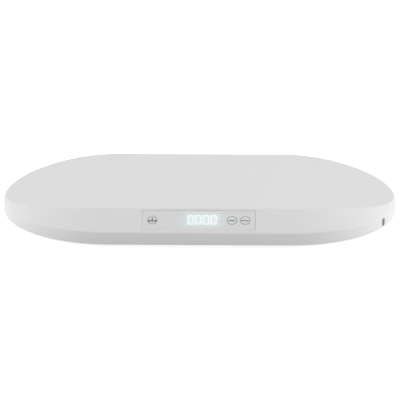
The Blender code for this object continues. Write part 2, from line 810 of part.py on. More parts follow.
def make_battery():
    x = BATTERY_LENGTH / 2
    y = BATTERY_DEPTH / 2
    bottom = rest_height + TRAY_FLOOR + GAP
    battery = box(
        "battery_pack",
        (-x, BATTERY_PLACE - y, bottom),
        (x, BATTERY_PLACE + y, bottom + BATTERY_HEIGHT),
    )
    place(bevelled(battery, BATTERY_EDGE), parts, battery_wrap)
    inner_x = x + TRAY_CLEARANCE
    inner_y = y + TRAY_CLEARANCE
    outer_x = inner_x + TRAY_WALL
    outer_y = inner_y + TRAY_WALL
    top = rest_height + TRAY_HEIGHT
    tray = box(
        "battery_holder",
        (-outer_x, BATTERY_PLACE - outer_y, rest_height),
        (outer_x, BATTERY_PLACE + outer_y, top),
    )
    place(tray, parts, black_plastic)
    room = box(
        "battery_room",
        (-inner_x, BATTERY_PLACE - inner_y, rest_height + TRAY_FLOOR),
        (inner_x, BATTERY_PLACE + inner_y, top + OVERRUN),
    )
    boolean(tray, place(room, cutters), "DIFFERENCE")


def make_charging_socket():
    width = PORT_WIDTH - 2 * GAP
    tall = PORT_TALL - 2 * GAP
    nose = upright_slot("charging_socket", width, tall, -socket_front - SINK, -NOSE_RECESS)
    place(nose, parts, black_plastic, parent=port_empty)
    half = SOCKET_BLOCK_WIDTH / 2
    block = box(
        "socket_block",
        (-socket_front - SOCKET_BLOCK_DEPTH, -half, rest_height - PORT_HEIGHT),
        (-socket_front, half, SOCKET_BLOCK_TOP - PORT_HEIGHT),
    )
    boolean(nose, place(block, cutters, parent=port_empty), "UNION")
    mouth = upright_slot("socket_mouth", MOUTH_WIDTH, MOUTH_TALL, -NOSE_RECESS - MOUTH_DEPTH, OVERRUN)
    boolean(nose, place(mouth, cutters, parent=port_empty), "DIFFERENCE")


# Points along a smooth curve through the given ones, none of them lower than a lead that lies on the cover
def smooth_route(points):
    points = [Vector(p) for p in points]
    route = [points[0]]
    padded = [2 * points[0] - points[1], *points, 2 * points[-1] - points[-2]]
    for before, start, end, after in zip(padded, padded[1:], padded[2:], padded[3:]):
        for step in range(1, LEAD_STEPS + 1):
            t = step / LEAD_STEPS
            bend = 2 * before - 5 * start + 4 * end - after
            twist = 3 * start - before - 3 * end + after
            point = (2 * start + (end - before) * t + bend * t**2 + twist * t**3) / 2
            point.z = max(point.z, lead_rest)
            route.append(point)
    return route


def lead(name, points):
    curve = bpy.data.curves.new(name, "CURVE")
    curve.dimensions = "3D"
    curve.bevel_depth = LEAD_RADIUS
    curve.bevel_resolution = 2
    curve.use_fill_caps = True
    route = smooth_route(points)
    spline = curve.splines.new("POLY")
    spline.points.add(len(route) - 1)
    for target, point in zip(spline.points, route):
        target.co = (*point, 1)
    place(bpy.data.objects.new(name, curve), parts, lead_sleeve)


# The last points of a lead: along the cover, up to its connector and straight in
def into_connector(name):
    (cx, cy), (face_x, face_y) = connectors()[name]
    half_way = (lead_rest + connector_middle) / 2
    stages = (
        (LEAD_LANDING, lead_rest),
        (LEAD_CLIMB, half_way),
        (LEAD_LEVEL, connector_middle),
        (GAP, connector_middle),
    )
    return [(cx + face_x * away, cy + face_y * away, z) for away, z in stages]


def make_leads():
    for corner, (sx, sy) in CORNERS.items():
        start = foot_x - CELL_SIZE / 2 - GAP
        wall = foot_x - carrier_size / 2
        end = into_connector(corner)
        y = sy * foot_y
        points = [
            (sx * start, y, cell_middle),
            (sx * (wall - LEAD_RUN / 2), y, cell_middle),
            (sx * (wall - 2 * LEAD_RUN), y, lead_rest),
            (sx * (wall + abs(end[0][0])) / 2, (y + end[0][1]) / 2, lead_rest),
        ]
        lead("load_cell_lead_" + corner, points + end)

    back = -socket_front - SOCKET_BLOCK_DEPTH - GAP
    middle = (rest_height + SOCKET_BLOCK_TOP) / 2
    facing = Matrix.Rotation(port_empty.rotation_euler.z, 4, "Z")
    origin = Vector((port_empty.location.x, port_empty.location.y, 0))
    inward = facing @ Vector((1, 0, 0))
    beside_foot = (foot_x, -foot_y + carrier_size, lead_rest)
    charging = [
        origin + inward * back + Vector((0, 0, middle)),
        origin + inward * (back - LEAD_RUN) + Vector((0, 0, middle)),
        beside_foot,
    ]
    lead("charging_lead", charging + into_connector("charging"))

    low = LENS_RISE - DISPLAY_BOARD_WIDTH / 2 + SCREW_INSET + CONNECTOR_LENGTH / 2
    depth = board_back + CONNECTOR_HEIGHT + GAP
    start = slope_frame @ Vector((DISPLAY_LEAD_PLACE, low, -depth))
    below = slope_frame @ Vector((DISPLAY_LEAD_PLACE, low, -depth - LEAD_RUN / 2))
    on_cover = Vector((DISPLAY_LEAD_PLACE, below.y + 2 * LEAD_RUN, lead_rest))
    lead("display_lead", [start, below, on_cover] + into_connector("display"))

    battery_front = BATTERY_PLACE - BATTERY_DEPTH / 2
    over_wall = rest_height + TRAY_HEIGHT + 2 * GAP + LEAD_RADIUS
    (x, y), _ = connectors()["battery"]
    battery = [
        (x, battery_front - GAP, over_wall),
        (x, battery_front - LEAD_RUN / 2, over_wall),
        (x, y + LEAD_RUN / 2, connector_middle),
        (x, y + GAP, connector_middle),
    ]
    lead("battery_lead", battery)


clear_scene()
parts = new_collection("digital_baby_scale")
cutters = new_collection("cutters")

white_plastic = finish("white_plastic", (0.86, 0.86, 0.87), 0.35)
panel_plastic = finish("panel_plastic", (0.74, 0.78, 0.78), 0.3)
display_plastic = finish("display_plastic", (0.80, 0.90, 0.90), 0.5)
black_plastic = finish("black_plastic", (0.03, 0.03, 0.035), 0.5)
grey_rubber = finish("grey_rubber", (0.25, 0.26, 0.27), 0.85)
zinc_steel = finish("zinc_steel", (0.6, 0.6, 0.6), 0.35, 1.0)
green_board = finish("green_board", (0.03, 0.20, 0.08), 0.5)
battery_wrap = finish("battery_wrap", (0.10, 0.22, 0.45), 0.4)
lead_sleeve = finish("lead_sleeve", (0.55, 0.06, 0.05), 0.5)

# The slope's own frame: X across, Y up the slope, Z out of it
slope_empty = bpy.data.objects.new("slope_mount", None)
place(slope_empty, parts, location=(0, -half_depth, SKIRT_TOP), turn=(SLOPE, 0, 0))
slope_frame = Matrix.Translation((0, -half_depth, SKIRT_TOP)) @ Matrix.Rotation(SLOPE, 4, "X")
port_empty = bpy.data.objects.new("port_mount", None)
port_place, port_turn = port_frame()
place(port_empty, parts, location=port_place, turn=(0, 0, port_turn))

make_platform()
make_base_cover()
make_all_screws()
make_feet()
make_load_cells()
make_display_panel()
make_display_board()
make_main_board()
make_battery()
make_charging_socket()
make_leads()
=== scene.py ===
from math import cos, hypot, pi, radians, sin, tan

import bmesh
import bpy
from mathutils import Matrix, Vector


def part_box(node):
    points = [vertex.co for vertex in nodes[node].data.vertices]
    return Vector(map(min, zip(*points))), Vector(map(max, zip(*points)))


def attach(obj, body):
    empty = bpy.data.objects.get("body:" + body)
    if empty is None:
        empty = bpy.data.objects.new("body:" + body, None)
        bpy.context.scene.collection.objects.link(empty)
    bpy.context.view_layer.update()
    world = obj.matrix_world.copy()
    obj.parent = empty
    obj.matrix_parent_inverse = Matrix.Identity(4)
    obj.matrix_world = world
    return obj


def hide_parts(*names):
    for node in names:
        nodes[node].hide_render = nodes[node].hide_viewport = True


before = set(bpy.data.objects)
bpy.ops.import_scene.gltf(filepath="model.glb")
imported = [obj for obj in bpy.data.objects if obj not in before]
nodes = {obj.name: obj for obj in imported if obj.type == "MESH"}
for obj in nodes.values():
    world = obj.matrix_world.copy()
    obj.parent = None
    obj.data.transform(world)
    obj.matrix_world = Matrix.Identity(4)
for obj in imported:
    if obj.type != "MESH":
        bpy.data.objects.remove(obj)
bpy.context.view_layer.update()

mm = 0.001
weld = 0.001 * mm  # points this near are joined after a cut
touch = 0.0001 * mm  # and this near in a shape just made
corners = ("front_left", "front_right", "back_left", "back_right")
keys = ("tare", "unit", "hold")


def middleOf(node):
    low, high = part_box(node)
    return (low.x + high.x) / 2, (low.y + high.y) / 2


# Sums on node sockets, for materials and for Geometry Nodes alike
class Wire:
    def __init__(self, board, socket):
        self.board = board
        self.socket = socket

    def maths(self, operation, *others):
        return self.board.node("ShaderNodeMath", [self, *others], operation=operation)

    def flipped(self, operation, other):
        return self.board.node("ShaderNodeMath", [other, self], operation=operation)

    def __add__(self, other):
        return self.maths("ADD", other)

    def __sub__(self, other):
        return self.maths("SUBTRACT", other)

    def __mul__(self, other):
        return self.maths("MULTIPLY", other)

    def __truediv__(self, other):
        return self.maths("DIVIDE", other)

    def __pow__(self, other):
        return self.maths("POWER", other)

    def __rsub__(self, other):
        return self.flipped("SUBTRACT", other)

    def __rpow__(self, other):
        return self.flipped("POWER", other)

    __radd__ = __add__
    __rmul__ = __mul__

    def __abs__(self):
        return self.maths("ABSOLUTE")

    def atLeast(self, floor):
        return self.maths("MAXIMUM", floor)

    def atMost(self, ceiling):
        return self.maths("MINIMUM", ceiling)

    def between(self, low, high):
        return self.atLeast(low).atMost(high)

    def root(self):
        return self.atLeast(0.0).maths("SQRT")

    def xyz(self):
        split = self.board.node("ShaderNodeSeparateXYZ", [self]).socket.node
        return [Wire(self.board, output) for output in split.outputs]

    # One where this is over an edge, fading to nothing across a blur
    def over(self, edge, blur):
        return ((self - edge) / blur + 0.5).between(0.0, 1.0)


class Board:
    def __init__(self, tree):
        self.tree = tree

    # A node with its settings, which come first, and what its sockets take
    def node(self, kind, inputs=(), output=0, **settings):
        made = self.tree.nodes.new(kind)
        for name, value in settings.items():
            setattr(made, name, value)
        pairs = inputs.items() if isinstance(inputs, dict) else enumerate(inputs)
        for key, value in pairs:
            self.feed(made.inputs[key], value)
        return Wire(self, made.outputs[output])

    # A wire is linked, and so is each wire of a list; anything else is the socket's value
    def feed(self, socket, value):
        if isinstance(value, list):
            for wire in value:
                self.tree.links.new(wire.socket, socket)
        elif isinstance(value, Wire):
            self.tree.links.new(value.socket, socket)
        else:
            socket.default_value = value


# A material: its Principled shader's plain settings first, then whatever varies over the surface
class Finish(Board):
    def __init__(self, name, **settings):
        self.material = bpy.data.materials.new(name)
        self.material.use_nodes = True
        super().__init__(self.material.node_tree)
        self.shader = self.tree.nodes["Principled BSDF"]
        for key, value in settings.items():
            self.shader.inputs[key.replace("_", " ")].default_value = value
        self.place = self.node("ShaderNodeTexCoord", output="Object")

    def set(self, name, wire):
        self.feed(self.shader.inputs[name], wire)

    def colour(self, share, first, second):
        self.set("Base Color", self.mix(share, first, second))

    def noise(self, size, detail, roughness=0.5):
        inputs = {"Vector": self.place, "Scale": 1 / size, "Detail": detail, "Roughness": roughness}
        return self.node("ShaderNodeTexNoise", inputs)

    def cells(self, size, feature):
        inputs = {"Vector": self.place, "Scale": 1 / size}
        return self.node("ShaderNodeTexVoronoi", inputs, feature=feature)

    def mix(self, share, first, second):
        first, second = (tone if isinstance(tone, Wire) else (*tone, 1) for tone in (first, second))
        return self.node("ShaderNodeMix", {0: share, 6: first, 7: second}, 2, data_type="RGBA")

    def bump(self, height, depth):
        inputs = {"Height": height, "Distance": depth, "Strength": 1.0}
        self.set("Normal", self.node("ShaderNodeBump", inputs))


platform = {
    "endReach": 154 * mm,
    "skirtTop": 23.2 * mm,
    "panLow": 26.3 * mm,
    "slope": radians(35),
    "endSlope": radians(50),  # steeper at the very ends
    "endPower": 6.0,  # a higher one keeps the steepening nearer the tips
    "wall": 2.6 * mm,
    "shoulderRadius": 3 * mm,
    "skirtEdge": 0.8 * mm,
    "crestBlend": 0.7 * mm,  # how far apart pan and slope start to run into each other
    "seam": 0.002 * mm,  # points of the sheet this near are one
    "arcSteps": 72,
    "straightSteps": 36,
    "ringSteps": 30,
    "clear": 3 * mm,  # how far the cutters stand out of it
}
shellLow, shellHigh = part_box("platform_shell")
platform["halfLength"] = shellHigh.x
platform["halfDepth"] = shellHigh.y
platform["skirtBottom"] = shellLow.z
platform["crestHeight"] = shellHigh.z
platform["straightTurn"] = pi * platform["straightSteps"] / platform["arcSteps"]
platform["stations"] = 2 * (platform["arcSteps"] + platform["straightSteps"]) + 1
platform["rings"] = 3 * platform["ringSteps"] + 1

# The pan's radius follows from its depth and from where it meets the slope, front and back
crestRise = platform["crestHeight"] - platform["skirtTop"]
crestY = platform["halfDepth"] - crestRise / tan(platform["slope"])
sag = platform["crestHeight"] - platform["panLow"]
platform["panRadius"] = (crestY ** 2 + sag ** 2) / (2 * sag)
slopeFrame = Matrix.Translation((0, -platform["halfDepth"], platform["skirtTop"]))
slopeFrame = slopeFrame @ Matrix.Rotation(platform["slope"], 4, "X")

lensLow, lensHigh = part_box("display_lens")
panel = {
    "length": lensHigh.x - lensLow.x,
    "width": 31.5 * mm,
    "rise": 21.25 * mm,  # its middle, up the slope from the skirt
    "thickness": 1.2 * mm,
    "corner": 1.2 * mm,
    "edge": 0.1 * mm,
    "gap": 0.3 * mm,
    "lip": 0.22 * mm,
    "ledge": 3 * mm,
    "windowCorner": 1 * mm,
    "windowDepth": 6 * mm,
    "sink": 0.4 * mm,  # its face under the slope's
    "keyRise": 21.3 * mm,
    "keyRadius": 6.8 * mm,
    "keyGap": 0.15 * mm,
    "keyTop": -0.3 * mm,
    # how far the painted green light of the digits reaches over the film
    "glowTintReach": 24 * mm,
    "haloFade": 2.718,  # how many times fainter the glow gets with each halo's width
}
keyPlaces = {key: middleOf("key_" + key)[0] for key in keys}
display = {
    "count": 4,
    "pitch": 10.3 * mm,
    "width": 7.6 * mm,
    "height": 14.6 * mm,
    "stroke": 0.95 * mm,
    "gap": 0.6 * mm,
    "rise": 22.2 * mm,
    "proud": 0.03 * mm,
    "dot": 0.85 * mm,
    "dotPlace": 26.7 * mm,
    "dotRise": 23.9 * mm,
    "halo": 3 * mm,
    "aside": -0.65 * mm,
}
display["place"] = middleOf("digit_display")[0] + display["aside"]


# Materials

def lighter(tone, share):
    return tuple(share * channel for channel in tone)


def whiteAbs(name="whiteAbs", grain=0.45 * mm, depth=0.012 * mm, tone=0.807):
    finish = Finish(name, Roughness=0.58, IOR=1.3)
    plain = (tone, tone, tone * 1.005)
    bright = (tone * 1.015, tone * 1.015, tone * 1.02)
    finish.colour(finish.noise(60 * mm, 3.0), plain, bright)
    finish.set("Roughness", 0.55 + 0.07 * finish.noise(9 * mm, 4.0))
    finish.bump(finish.noise(grain, 2.0), depth)
    return finish.material


# How far a point lies along the slope, and up it
def slopePlace(finish):
    x, y, z = finish.place.xyz()
    inwards = (y + platform["halfDepth"]) * cos(platform["slope"])
    upwards = (z - platform["skirtTop"]) * sin(platform["slope"])
    return x, inwards + upwards


# Painted light from the digits: the film greener towards them, and a painted glow right round them
def panelFilm(name):
    finish = Finish(name, Roughness=0.28, IOR=1.5, Emission_Strength=1.0)
    x, rise = slopePlace(finish)
    halfRow = (display["pitch"] * (display["count"] - 1) + display["width"]) / 2
    dx = (abs(x - display["place"]) - halfRow).atLeast(0.0)
    dy = (abs(rise - display["rise"]) - display["height"] / 2).atLeast(0.0)
    away = (dx * dx + dy * dy).root()
    # a painted glow on the film, fading away from the digits
    halo = panel["haloFade"] ** (away / -display["halo"])
    # painted green light from the digits, fading out over this reach
    glowTint = 1 - (away / panel["glowTintReach"]).atMost(1.0)
    base = finish.mix(glowTint, (0.745, 0.748, 0.752), (0.74, 0.785, 0.79))
    finish.colour(finish.noise(30 * mm, 2.0) * 0.03, base, (0.9, 0.9, 0.9))
    finish.set("Emission Color", finish.mix(halo, (0, 0, 0), (0.105, 0.13, 0.125)))
    finish.set("Roughness", 0.26 + 0.05 * finish.noise(6 * mm, 3.0))
    finish.bump(finish.noise(0.3 * mm, 2.0), 0.004 * mm)
    return finish.material


def inkGrey():
    finish = Finish("inkGrey", Roughness=0.5)
    speck = finish.noise(0.25 * mm, 3.0)
    finish.colour(speck, (0.035, 0.038, 0.04), (0.06, 0.065, 0.067))
    finish.set("Roughness", 0.45 + 0.15 * speck)
    return finish.material


def litSegment():
    finish = Finish("litSegment", Roughness=0.4, Emission_Strength=1.0)
    glow = finish.noise(2.5 * mm, 1.0)
    finish.colour(glow, (0.7, 0.8, 0.8), (0.75, 0.82, 0.82))
    finish.set("Emission Color", finish.mix(glow, (0.50, 0.60, 0.59), (0.56, 0.64, 0.63)))
    return finish.material


def darkPlastic(name, tone, roughness=0.5):
    finish = Finish(name, Roughness=roughness)
    finish.colour(finish.noise(4 * mm, 3.0), tone, lighter(tone, 1.25))
    finish.set("Roughness", roughness - 0.05 + 0.12 * finish.noise(1.5 * mm, 3.0))
    finish.bump(finish.noise(0.35 * mm, 2.0), 0.012 * mm)
    return finish.material


def rubber(name, tone):
    finish = Finish(name, Roughness=0.85)
    cloud = finish.noise(5 * mm, 4.0)
    dust = finish.noise(1.2 * mm, 5.0, 0.7).over(0.62, 0.2)
    base = finish.mix(cloud, tone, lighter(tone, 1.3))
    finish.colour(dust * 0.35, base, (0.45, 0.44, 0.42))
    finish.set("Roughness", 0.78 + 0.15 * cloud)
    finish.bump(finish.noise(0.5 * mm, 4.0), 0.03 * mm)
    return finish.material


def zincSteel():
    finish = Finish("zincSteel", Metallic=1.0, Roughness=0.34)
    cloud = finish.noise(2.2 * mm, 4.0, 0.65)
    finish.colour(cloud, (0.50, 0.51, 0.53), (0.68, 0.68, 0.68))
    finish.set("Roughness", 0.24 + 0.22 * finish.noise(0.9 * mm, 4.0))
    finish.bump(finish.noise(0.4 * mm, 3.0), 0.008 * mm)
    return finish.material


def circuitBoard():
    finish = Finish("circuitBoard", Roughness=0.4)
    trace = 1 - finish.cells(5 * mm, "DISTANCE_TO_EDGE").over(0.06, 0.03)
    solder = 1 - finish.cells(4 * mm, "F1").over(0.16, 0.04)
    copper = finish.mix(trace, (0.012, 0.105, 0.045), (0.03, 0.20, 0.085))
    finish.colour(solder, copper, (0.62, 0.60, 0.56))
    finish.set("Metallic", solder * 0.9)
    finish.set("Roughness", 0.42 - 0.12 * trace)
    finish.bump(trace * 0.6 + solder, 0.03 * mm)
    return finish.material


def batteryWrap():
    finish = Finish("batteryWrap", Roughness=0.35)
    crease = finish.noise(8 * mm, 4.0, 0.6)
    band = (abs(finish.place.xyz()[0]) - 20 * mm).over(0, 0.3 * mm)
    finish.colour(band, (0.05, 0.16, 0.42), (0.30, 0.33, 0.36))
    finish.set("Roughness", 0.28 + 0.2 * crease)
    finish.bump(crease, 0.2 * mm)
    return finish.material


def leadSleeve(name, tone):
    finish = Finish(name, Roughness=0.5)
    cloud = finish.noise(3 * mm, 2.0)
    finish.colour(cloud, tone, lighter(tone, 1.3))
    finish.set("Roughness", 0.42 + 0.15 * cloud)
    finish.bump(finish.noise(0.6 * mm, 2.0), 0.01 * mm)
    return finish.material


materials = {
    "white": whiteAbs(),
    "under": whiteAbs("whiteAbsUnderside", 1.1 * mm, 0.05 * mm, 0.76),
    "panel": panelFilm("panelFilm"),
    "ink": inkGrey(),
    "lit": litSegment(),
    "black": darkPlastic("blackPlastic", (0.02, 0.02, 0.022)),
    "socket": darkPlastic("socketPlastic", (0.36, 0.36, 0.365)),
    "diffuser": darkPlastic("displayDiffuser", (0.62, 0.68, 0.68), 0.6),
    "rubber": rubber("footRubber", (0.17, 0.175, 0.18)),
    "steel": zincSteel(),
    "board": circuitBoard(),
    "battery": batteryWrap(),
    "lead": leadSleeve("leadSleeve", (0.35, 0.03, 0.025)),
}
print("materials done")


# Mesh helpers

def link(obj):
    bpy.context.scene.collection.objects.link(obj)
    return obj


def dress(obj, material=None, angle=30):
    obj.data.shade_smooth()
    obj.data.set_sharp_from_angle(angle=radians(angle))
    if material:
        obj.data.materials.clear()
        obj.data.materials.append(materials[material])
    return obj


def objectFrom(bm, name, material=None, frameMatrix=None):
    if frameMatrix:
        bmesh.ops.transform(bm, matrix=frameMatrix, verts=bm.verts)
    mesh = bpy.data.meshes.new(name)
    bm.to_mesh(mesh)
    bm.free()
    return dress(link(bpy.data.objects.new(name, mesh)), material)


# An object's mesh as its modifiers or its curve leave it
def plainMesh(obj):
    graph = bpy.context.evaluated_depsgraph_get()
    graph.update()
    return bpy.data.meshes.new_from_object(obj.evaluated_get(graph))


def settle(obj, angle=30):
    mesh = plainMesh(obj)
    obj.modifiers.clear()
    mesh.name = obj.name
    obj.data = mesh
    return dress(obj, None, angle)


# Joins points that all but touch, and closes openings of up to so many sides, or all of them with 0
def mend(obj, sides=8):
    bm = bmesh.new()
    bm.from_mesh(obj.data)
    bmesh.ops.remove_doubles(bm, verts=bm.verts, dist=weld)
    bmesh.ops.dissolve_degenerate(bm, dist=weld, edges=bm.edges)
    bmesh.ops.holes_fill(bm, edges=[edge for edge in bm.edges if edge.is_boundary], sides=sides)
    bmesh.ops.recalc_face_normals(bm, faces=bm.faces)
    bm.to_mesh(obj.data)
    bm.free()


def cut(obj, cutter, operation="DIFFERENCE"):
    knife = obj.modifiers.new("cut", "BOOLEAN")
    knife.operation = operation
    knife.object = cutter
    settle(obj)
    mend(obj)
    bpy.data.objects.remove(cutter, do_unlink=True)


def soften(obj, width):
    bevel = obj.modifiers.new("soften", "BEVEL")
    bevel.width = width
    bevel.segments = 1
    bevel.limit_method = "ANGLE"
    bevel.angle_limit = radians(30)
    settle(obj, 40)


def quarterTurn(steps):
    return [pi / 2 * step / steps for step in range(steps + 1)]


def circle(radius, centre, steps):
    turns = [2 * pi * step / steps for step in range(steps)]
    return [(centre[0] + radius * cos(a), centre[1] + radius * sin(a)) for a in turns]


def roundedRectangle(length, width, radius, centre=(0, 0), steps=6):
    points = []
    for quarter, (sideX, sideY) in enumerate(((1, 1), (-1, 1), (-1, -1), (1, -1))):
        for step in range(steps + 1):
            angle = (quarter + step / steps) * pi / 2
            x = centre[0] + sideX * (length / 2 - radius) + radius * cos(angle)
            y = centre[1] + sideY * (width / 2 - radius) + radius * sin(angle)
            points.append((x, y))
    return points


# The corner radius of a slot with round ends, a hair short, so that its arcs never share a point
def slotRadius(width):
    return width / 2 - weld


# A closed body through rings of as many points each, first ring lowest
def addLoft(bm, rings):
    rows = [[bm.verts.new(point) for point in ring] for ring in rings]
    for lower, upper in zip(rows, rows[1:]):
        for i, corner in enumerate(lower):
            j = (i + 1) % len(lower)
            bm.faces.new((corner, lower[j], upper[j], upper[i]))
    bm.faces.new(list(reversed(rows[0])))
    bm.faces.new(rows[-1])


# A closed body with one rounded outline, at each (wider, height) as much wider all round, lowest first
def addRounded(bm, length, width, radius, levels, centre=(0, 0), steps=6):
    rings = []
    for wider, height in levels:
        outline = roundedRectangle(length + 2 * wider, width + 2 * wider, radius + wider, centre, steps)
        rings.append([(x, y, height) for x, y in outline])
    addLoft(bm, rings)
    return bm


def cutRounded(obj, name, frameMatrix, *outline, operation="DIFFERENCE"):
    cut(obj, objectFrom(addRounded(bmesh.new(), *outline), name, None, frameMatrix), operation)


# A profile of (radius, height) turned round the Z axis, from the top down its outer side
def addTurned(bm, profile, steps, centre):
    rows = []
    for radius, height in profile:
        if radius == 0:
            rows.append([bm.verts.new((*centre, height))])
        else:
            rows.append([bm.verts.new((x, y, height)) for x, y in circle(radius, centre, steps)])
    for upper, lower in zip(rows, rows[1:]):
        for i in range(steps):
            j = (i + 1) % steps
            u, v = len(upper), len(lower)
            face = list(dict.fromkeys((upper[i % u], lower[i % v], lower[j % v], upper[j % u])))
            if len(face) > 2:
                bm.faces.new(face)
    return bm


# A flat outline with holes, between two heights
def plate(name, outlines, low, high, material=None, frameMatrix=None, edge=0):
    curve = bpy.data.curves.new(name, "CURVE")
    curve.dimensions = "2D"
    curve.fill_mode = "BOTH"
    curve.extrude = (high - low) / 2
    for points in outlines:
        spline = curve.splines.new("POLY")
        spline.points.add(len(points) - 1)
        for target, (x, y) in zip(spline.points, points):
            target.co = (x, y, 0, 1)
        spline.use_cyclic_u = True
    guide = link(bpy.data.objects.new(name, curve))
    mesh = plainMesh(guide)
    bpy.data.objects.remove(guide, do_unlink=True)
    bm = bmesh.new()
    bm.from_mesh(mesh)
    bmesh.ops.remove_doubles(bm, verts=bm.verts, dist=touch)
    bmesh.ops.dissolve_limit(bm, angle_limit=radians(1), verts=bm.verts, edges=bm.edges)
    bmesh.ops.recalc_face_normals(bm, faces=bm.faces)
    bmesh.ops.translate(bm, vec=(0, 0, (low + high) / 2), verts=bm.verts)
    made = objectFrom(bm, name, material)
    if edge:
        soften(made, edge)
    if frameMatrix:
        made.data.transform(frameMatrix)
    return dress(made, material, 25)


# Geometry Nodes helpers

def newTree(name, floats, ints):
    tree = bpy.data.node_groups.new(name, "GeometryNodeTree")
    kinds = {"Geometry": "Geometry", **dict.fromkeys(floats, "Float"), **dict.fromkeys(ints, "Int")}
    kinds["Material"] = "Material"
    for label, kind in kinds.items():
        tree.interface.new_socket(label, in_out="INPUT", socket_type="NodeSocket" + kind)
    tree.interface.new_socket("Geometry", in_out="OUTPUT", socket_type="NodeSocketGeometry")
    board = Board(tree)
    entry = tree.nodes.new("NodeGroupInput")
    wires = {output.name: Wire(board, output) for output in entry.outputs if output.name}
    board.material = wires["Material"]
    return board, wires


def endTree(board, geometry):
    real = board.node("GeometryNodeRealizeInstances", [geometry])
    painted = board.node("GeometryNodeSetMaterial", {"Geometry": real, "Material": board.material})
    leave = board.tree.nodes.new("NodeGroupOutput")
    board.feed(leave.inputs[0], painted)


def point(board, x, y, z):
    return board.node("ShaderNodeCombineXYZ", [x, y, z])


# An object grown by a tree, whose inputs take the values of the same names
def grow(name, board, values, material, start=None):
    values = {**values, "Material": materials[material]}
    obj = link(bpy.data.objects.new(name, start or bpy.data.meshes.new(name)))
    modifier = obj.modifiers.new("rule", "NODES")
    modifier.node_group = board.tree
    for item in board.tree.interface.items_tree:
        if item.in_out == "INPUT" and item.name in values:
            modifier[item.identifier] = values[item.name]
    return settle(obj)


# The platform's skin: one sheet from the skirt's foot over the slope and the crest to the middle of the pan
def platformTree():
    floats = ("halfLength", "halfDepth", "endReach", "skirtBottom", "skirtTop", "panLow", "panRadius")
    floats += ("slope", "endSlope", "shoulderRadius", "skirtEdge", "crestBlend", "straightTurn")
    board, size = newTree("platformRule", floats, ("stations", "rings"))
    straight = size["straightTurn"]
    spread = {"Size X": 1.0, "Size Y": 3.0, "Vertices X": size["stations"], "Vertices Y": size["rings"]}
    grid = board.node("GeometryNodeMeshGrid", spread)
    gridX, gridY, _ = board.node("GeometryNodeInputPosition").xyz()
    around = (gridX + 0.5) * (2 * pi + 2 * straight)
    ring = gridY + 1.5

    # The outline from above: right end, straight back, left end, straight front
    back = (around - pi).between(0.0, straight) / straight
    front = (around - 2 * pi - straight).between(0.0, straight) / straight
    angle = around.between(0.0, pi) - pi / 2 + (around - pi - straight).between(0.0, pi)
    endCentre = size["halfLength"] - size["endReach"]
    middleX = endCentre * (1 - 2 * back + 2 * front)
    cosine = angle.maths("COSINE")
    sine = angle.maths("SINE")
    across = size["halfDepth"] * cosine
    along = size["endReach"] * sine
    norm = (across * across + along * along).root()
    normalX = across / norm
    normalY = along / norm
    edgeX = middleX + size["endReach"] * cosine
    edgeY = size["halfDepth"] * sine

    # How far in the slope meets the pan, a trough with a round section
    slope = size["slope"] + (size["endSlope"] - size["slope"]) * abs(normalX) ** platform["endPower"]
    rising = slope.maths("TANGENT")
    radius = size["panRadius"]
    drop = size["skirtTop"] - size["panLow"] - radius
    square = rising * rising + normalY * normalY
    half = drop * rising - edgeY * normalY
    rest = drop * drop + edgeY * edgeY - radius * radius
    crestInset = (-1 * half - (half * half - square * rest).root()) / square

    # Skirt, slope and pan each take one unit of the ring value, closer together near the bends
    up = ring.between(0.0, 1.0)
    slopeShare = (1 - ((ring - 1).between(0.0, 1.0) * pi).maths("COSINE")) / 2
    panShare = (ring - 2).between(0.0, 1.0) ** 2.0
    turn = pi / 2 - slope
    shoulder = size["shoulderRadius"]
    shoulderStart = size["skirtTop"] - shoulder * (turn / 2).maths("TANGENT")
    skirtZ = size["skirtBottom"] + up * (shoulderStart - size["skirtBottom"])
    footInset = (size["skirtEdge"] - (skirtZ - size["skirtBottom"])).atLeast(0.0)
    inset = slopeShare * crestInset + footInset
    bend = shoulder * (1 - turn.maths("COSINE"))
    onBend = shoulder - inset.atMost(bend)
    slopeZ = skirtZ + (shoulder * shoulder - onBend * onBend).root() + (inset - bend).atLeast(0.0) * rising

    # Over the pan the slope's line runs on inwards, and the lower of the two is the surface
    x = edgeX - inset * normalX
    y = edgeY - inset * normalY
    reach = (x - middleX) * (x - middleX) + y * y
    x = x + panShare * (middleX - x)
    slopeZ = slopeZ + panShare * reach.root() * rising
    y = y * (1 - panShare)
    panZ = size["panLow"] + radius - (radius * radius - y * y).root()
    lost = (size["crestBlend"] - abs(slopeZ - panZ)).atLeast(0.0)
    height = slopeZ.atMost(panZ) - lost * lost / (4 * size["crestBlend"])
    onSkirt = [ring.maths("GREATER_THAN", 1.0), skirtZ, height]
    height = board.node("GeometryNodeSwitch", onSkirt, input_type="FLOAT")
    placed = {"Geometry": grid, "Position": point(board, x, y, height)}
    sheet = board.node("GeometryNodeSetPosition", placed)
    merging = {"Geometry": sheet, "Distance": platform["seam"]}
    endTree(board, board.node("GeometryNodeMergeByDistance", merging))
    return board


def platformBody(name, values):
    body = grow(name, platformTree(), values, "white")
    mend(body, 0)
    return body


# The skirt's hole for the charging socket
port = {
    "angle": radians(-31),
    "height": 13.7 * mm,
    "width": 8 * mm,
    "tall": 12 * mm,
    "depth": 6 * mm,
    "flare": 0.5 * mm,
}


# The socket's own frame: Z out of the skirt, X along it, Y up
def findPortFrame():
    a = platform["endReach"]
    b = platform["halfDepth"]
    x = platform["halfLength"] - a + a * cos(port["angle"])
    y = b * sin(port["angle"])
    out = Vector((b * cos(port["angle"]), a * sin(port["angle"]), 0)).normalized()
    up = Vector((0, 0, 1))
    side = up.cross(out)
    turn = Matrix((side, up, out)).transposed().to_4x4()
    return Matrix.Translation((x, y, port["height"])) @ turn


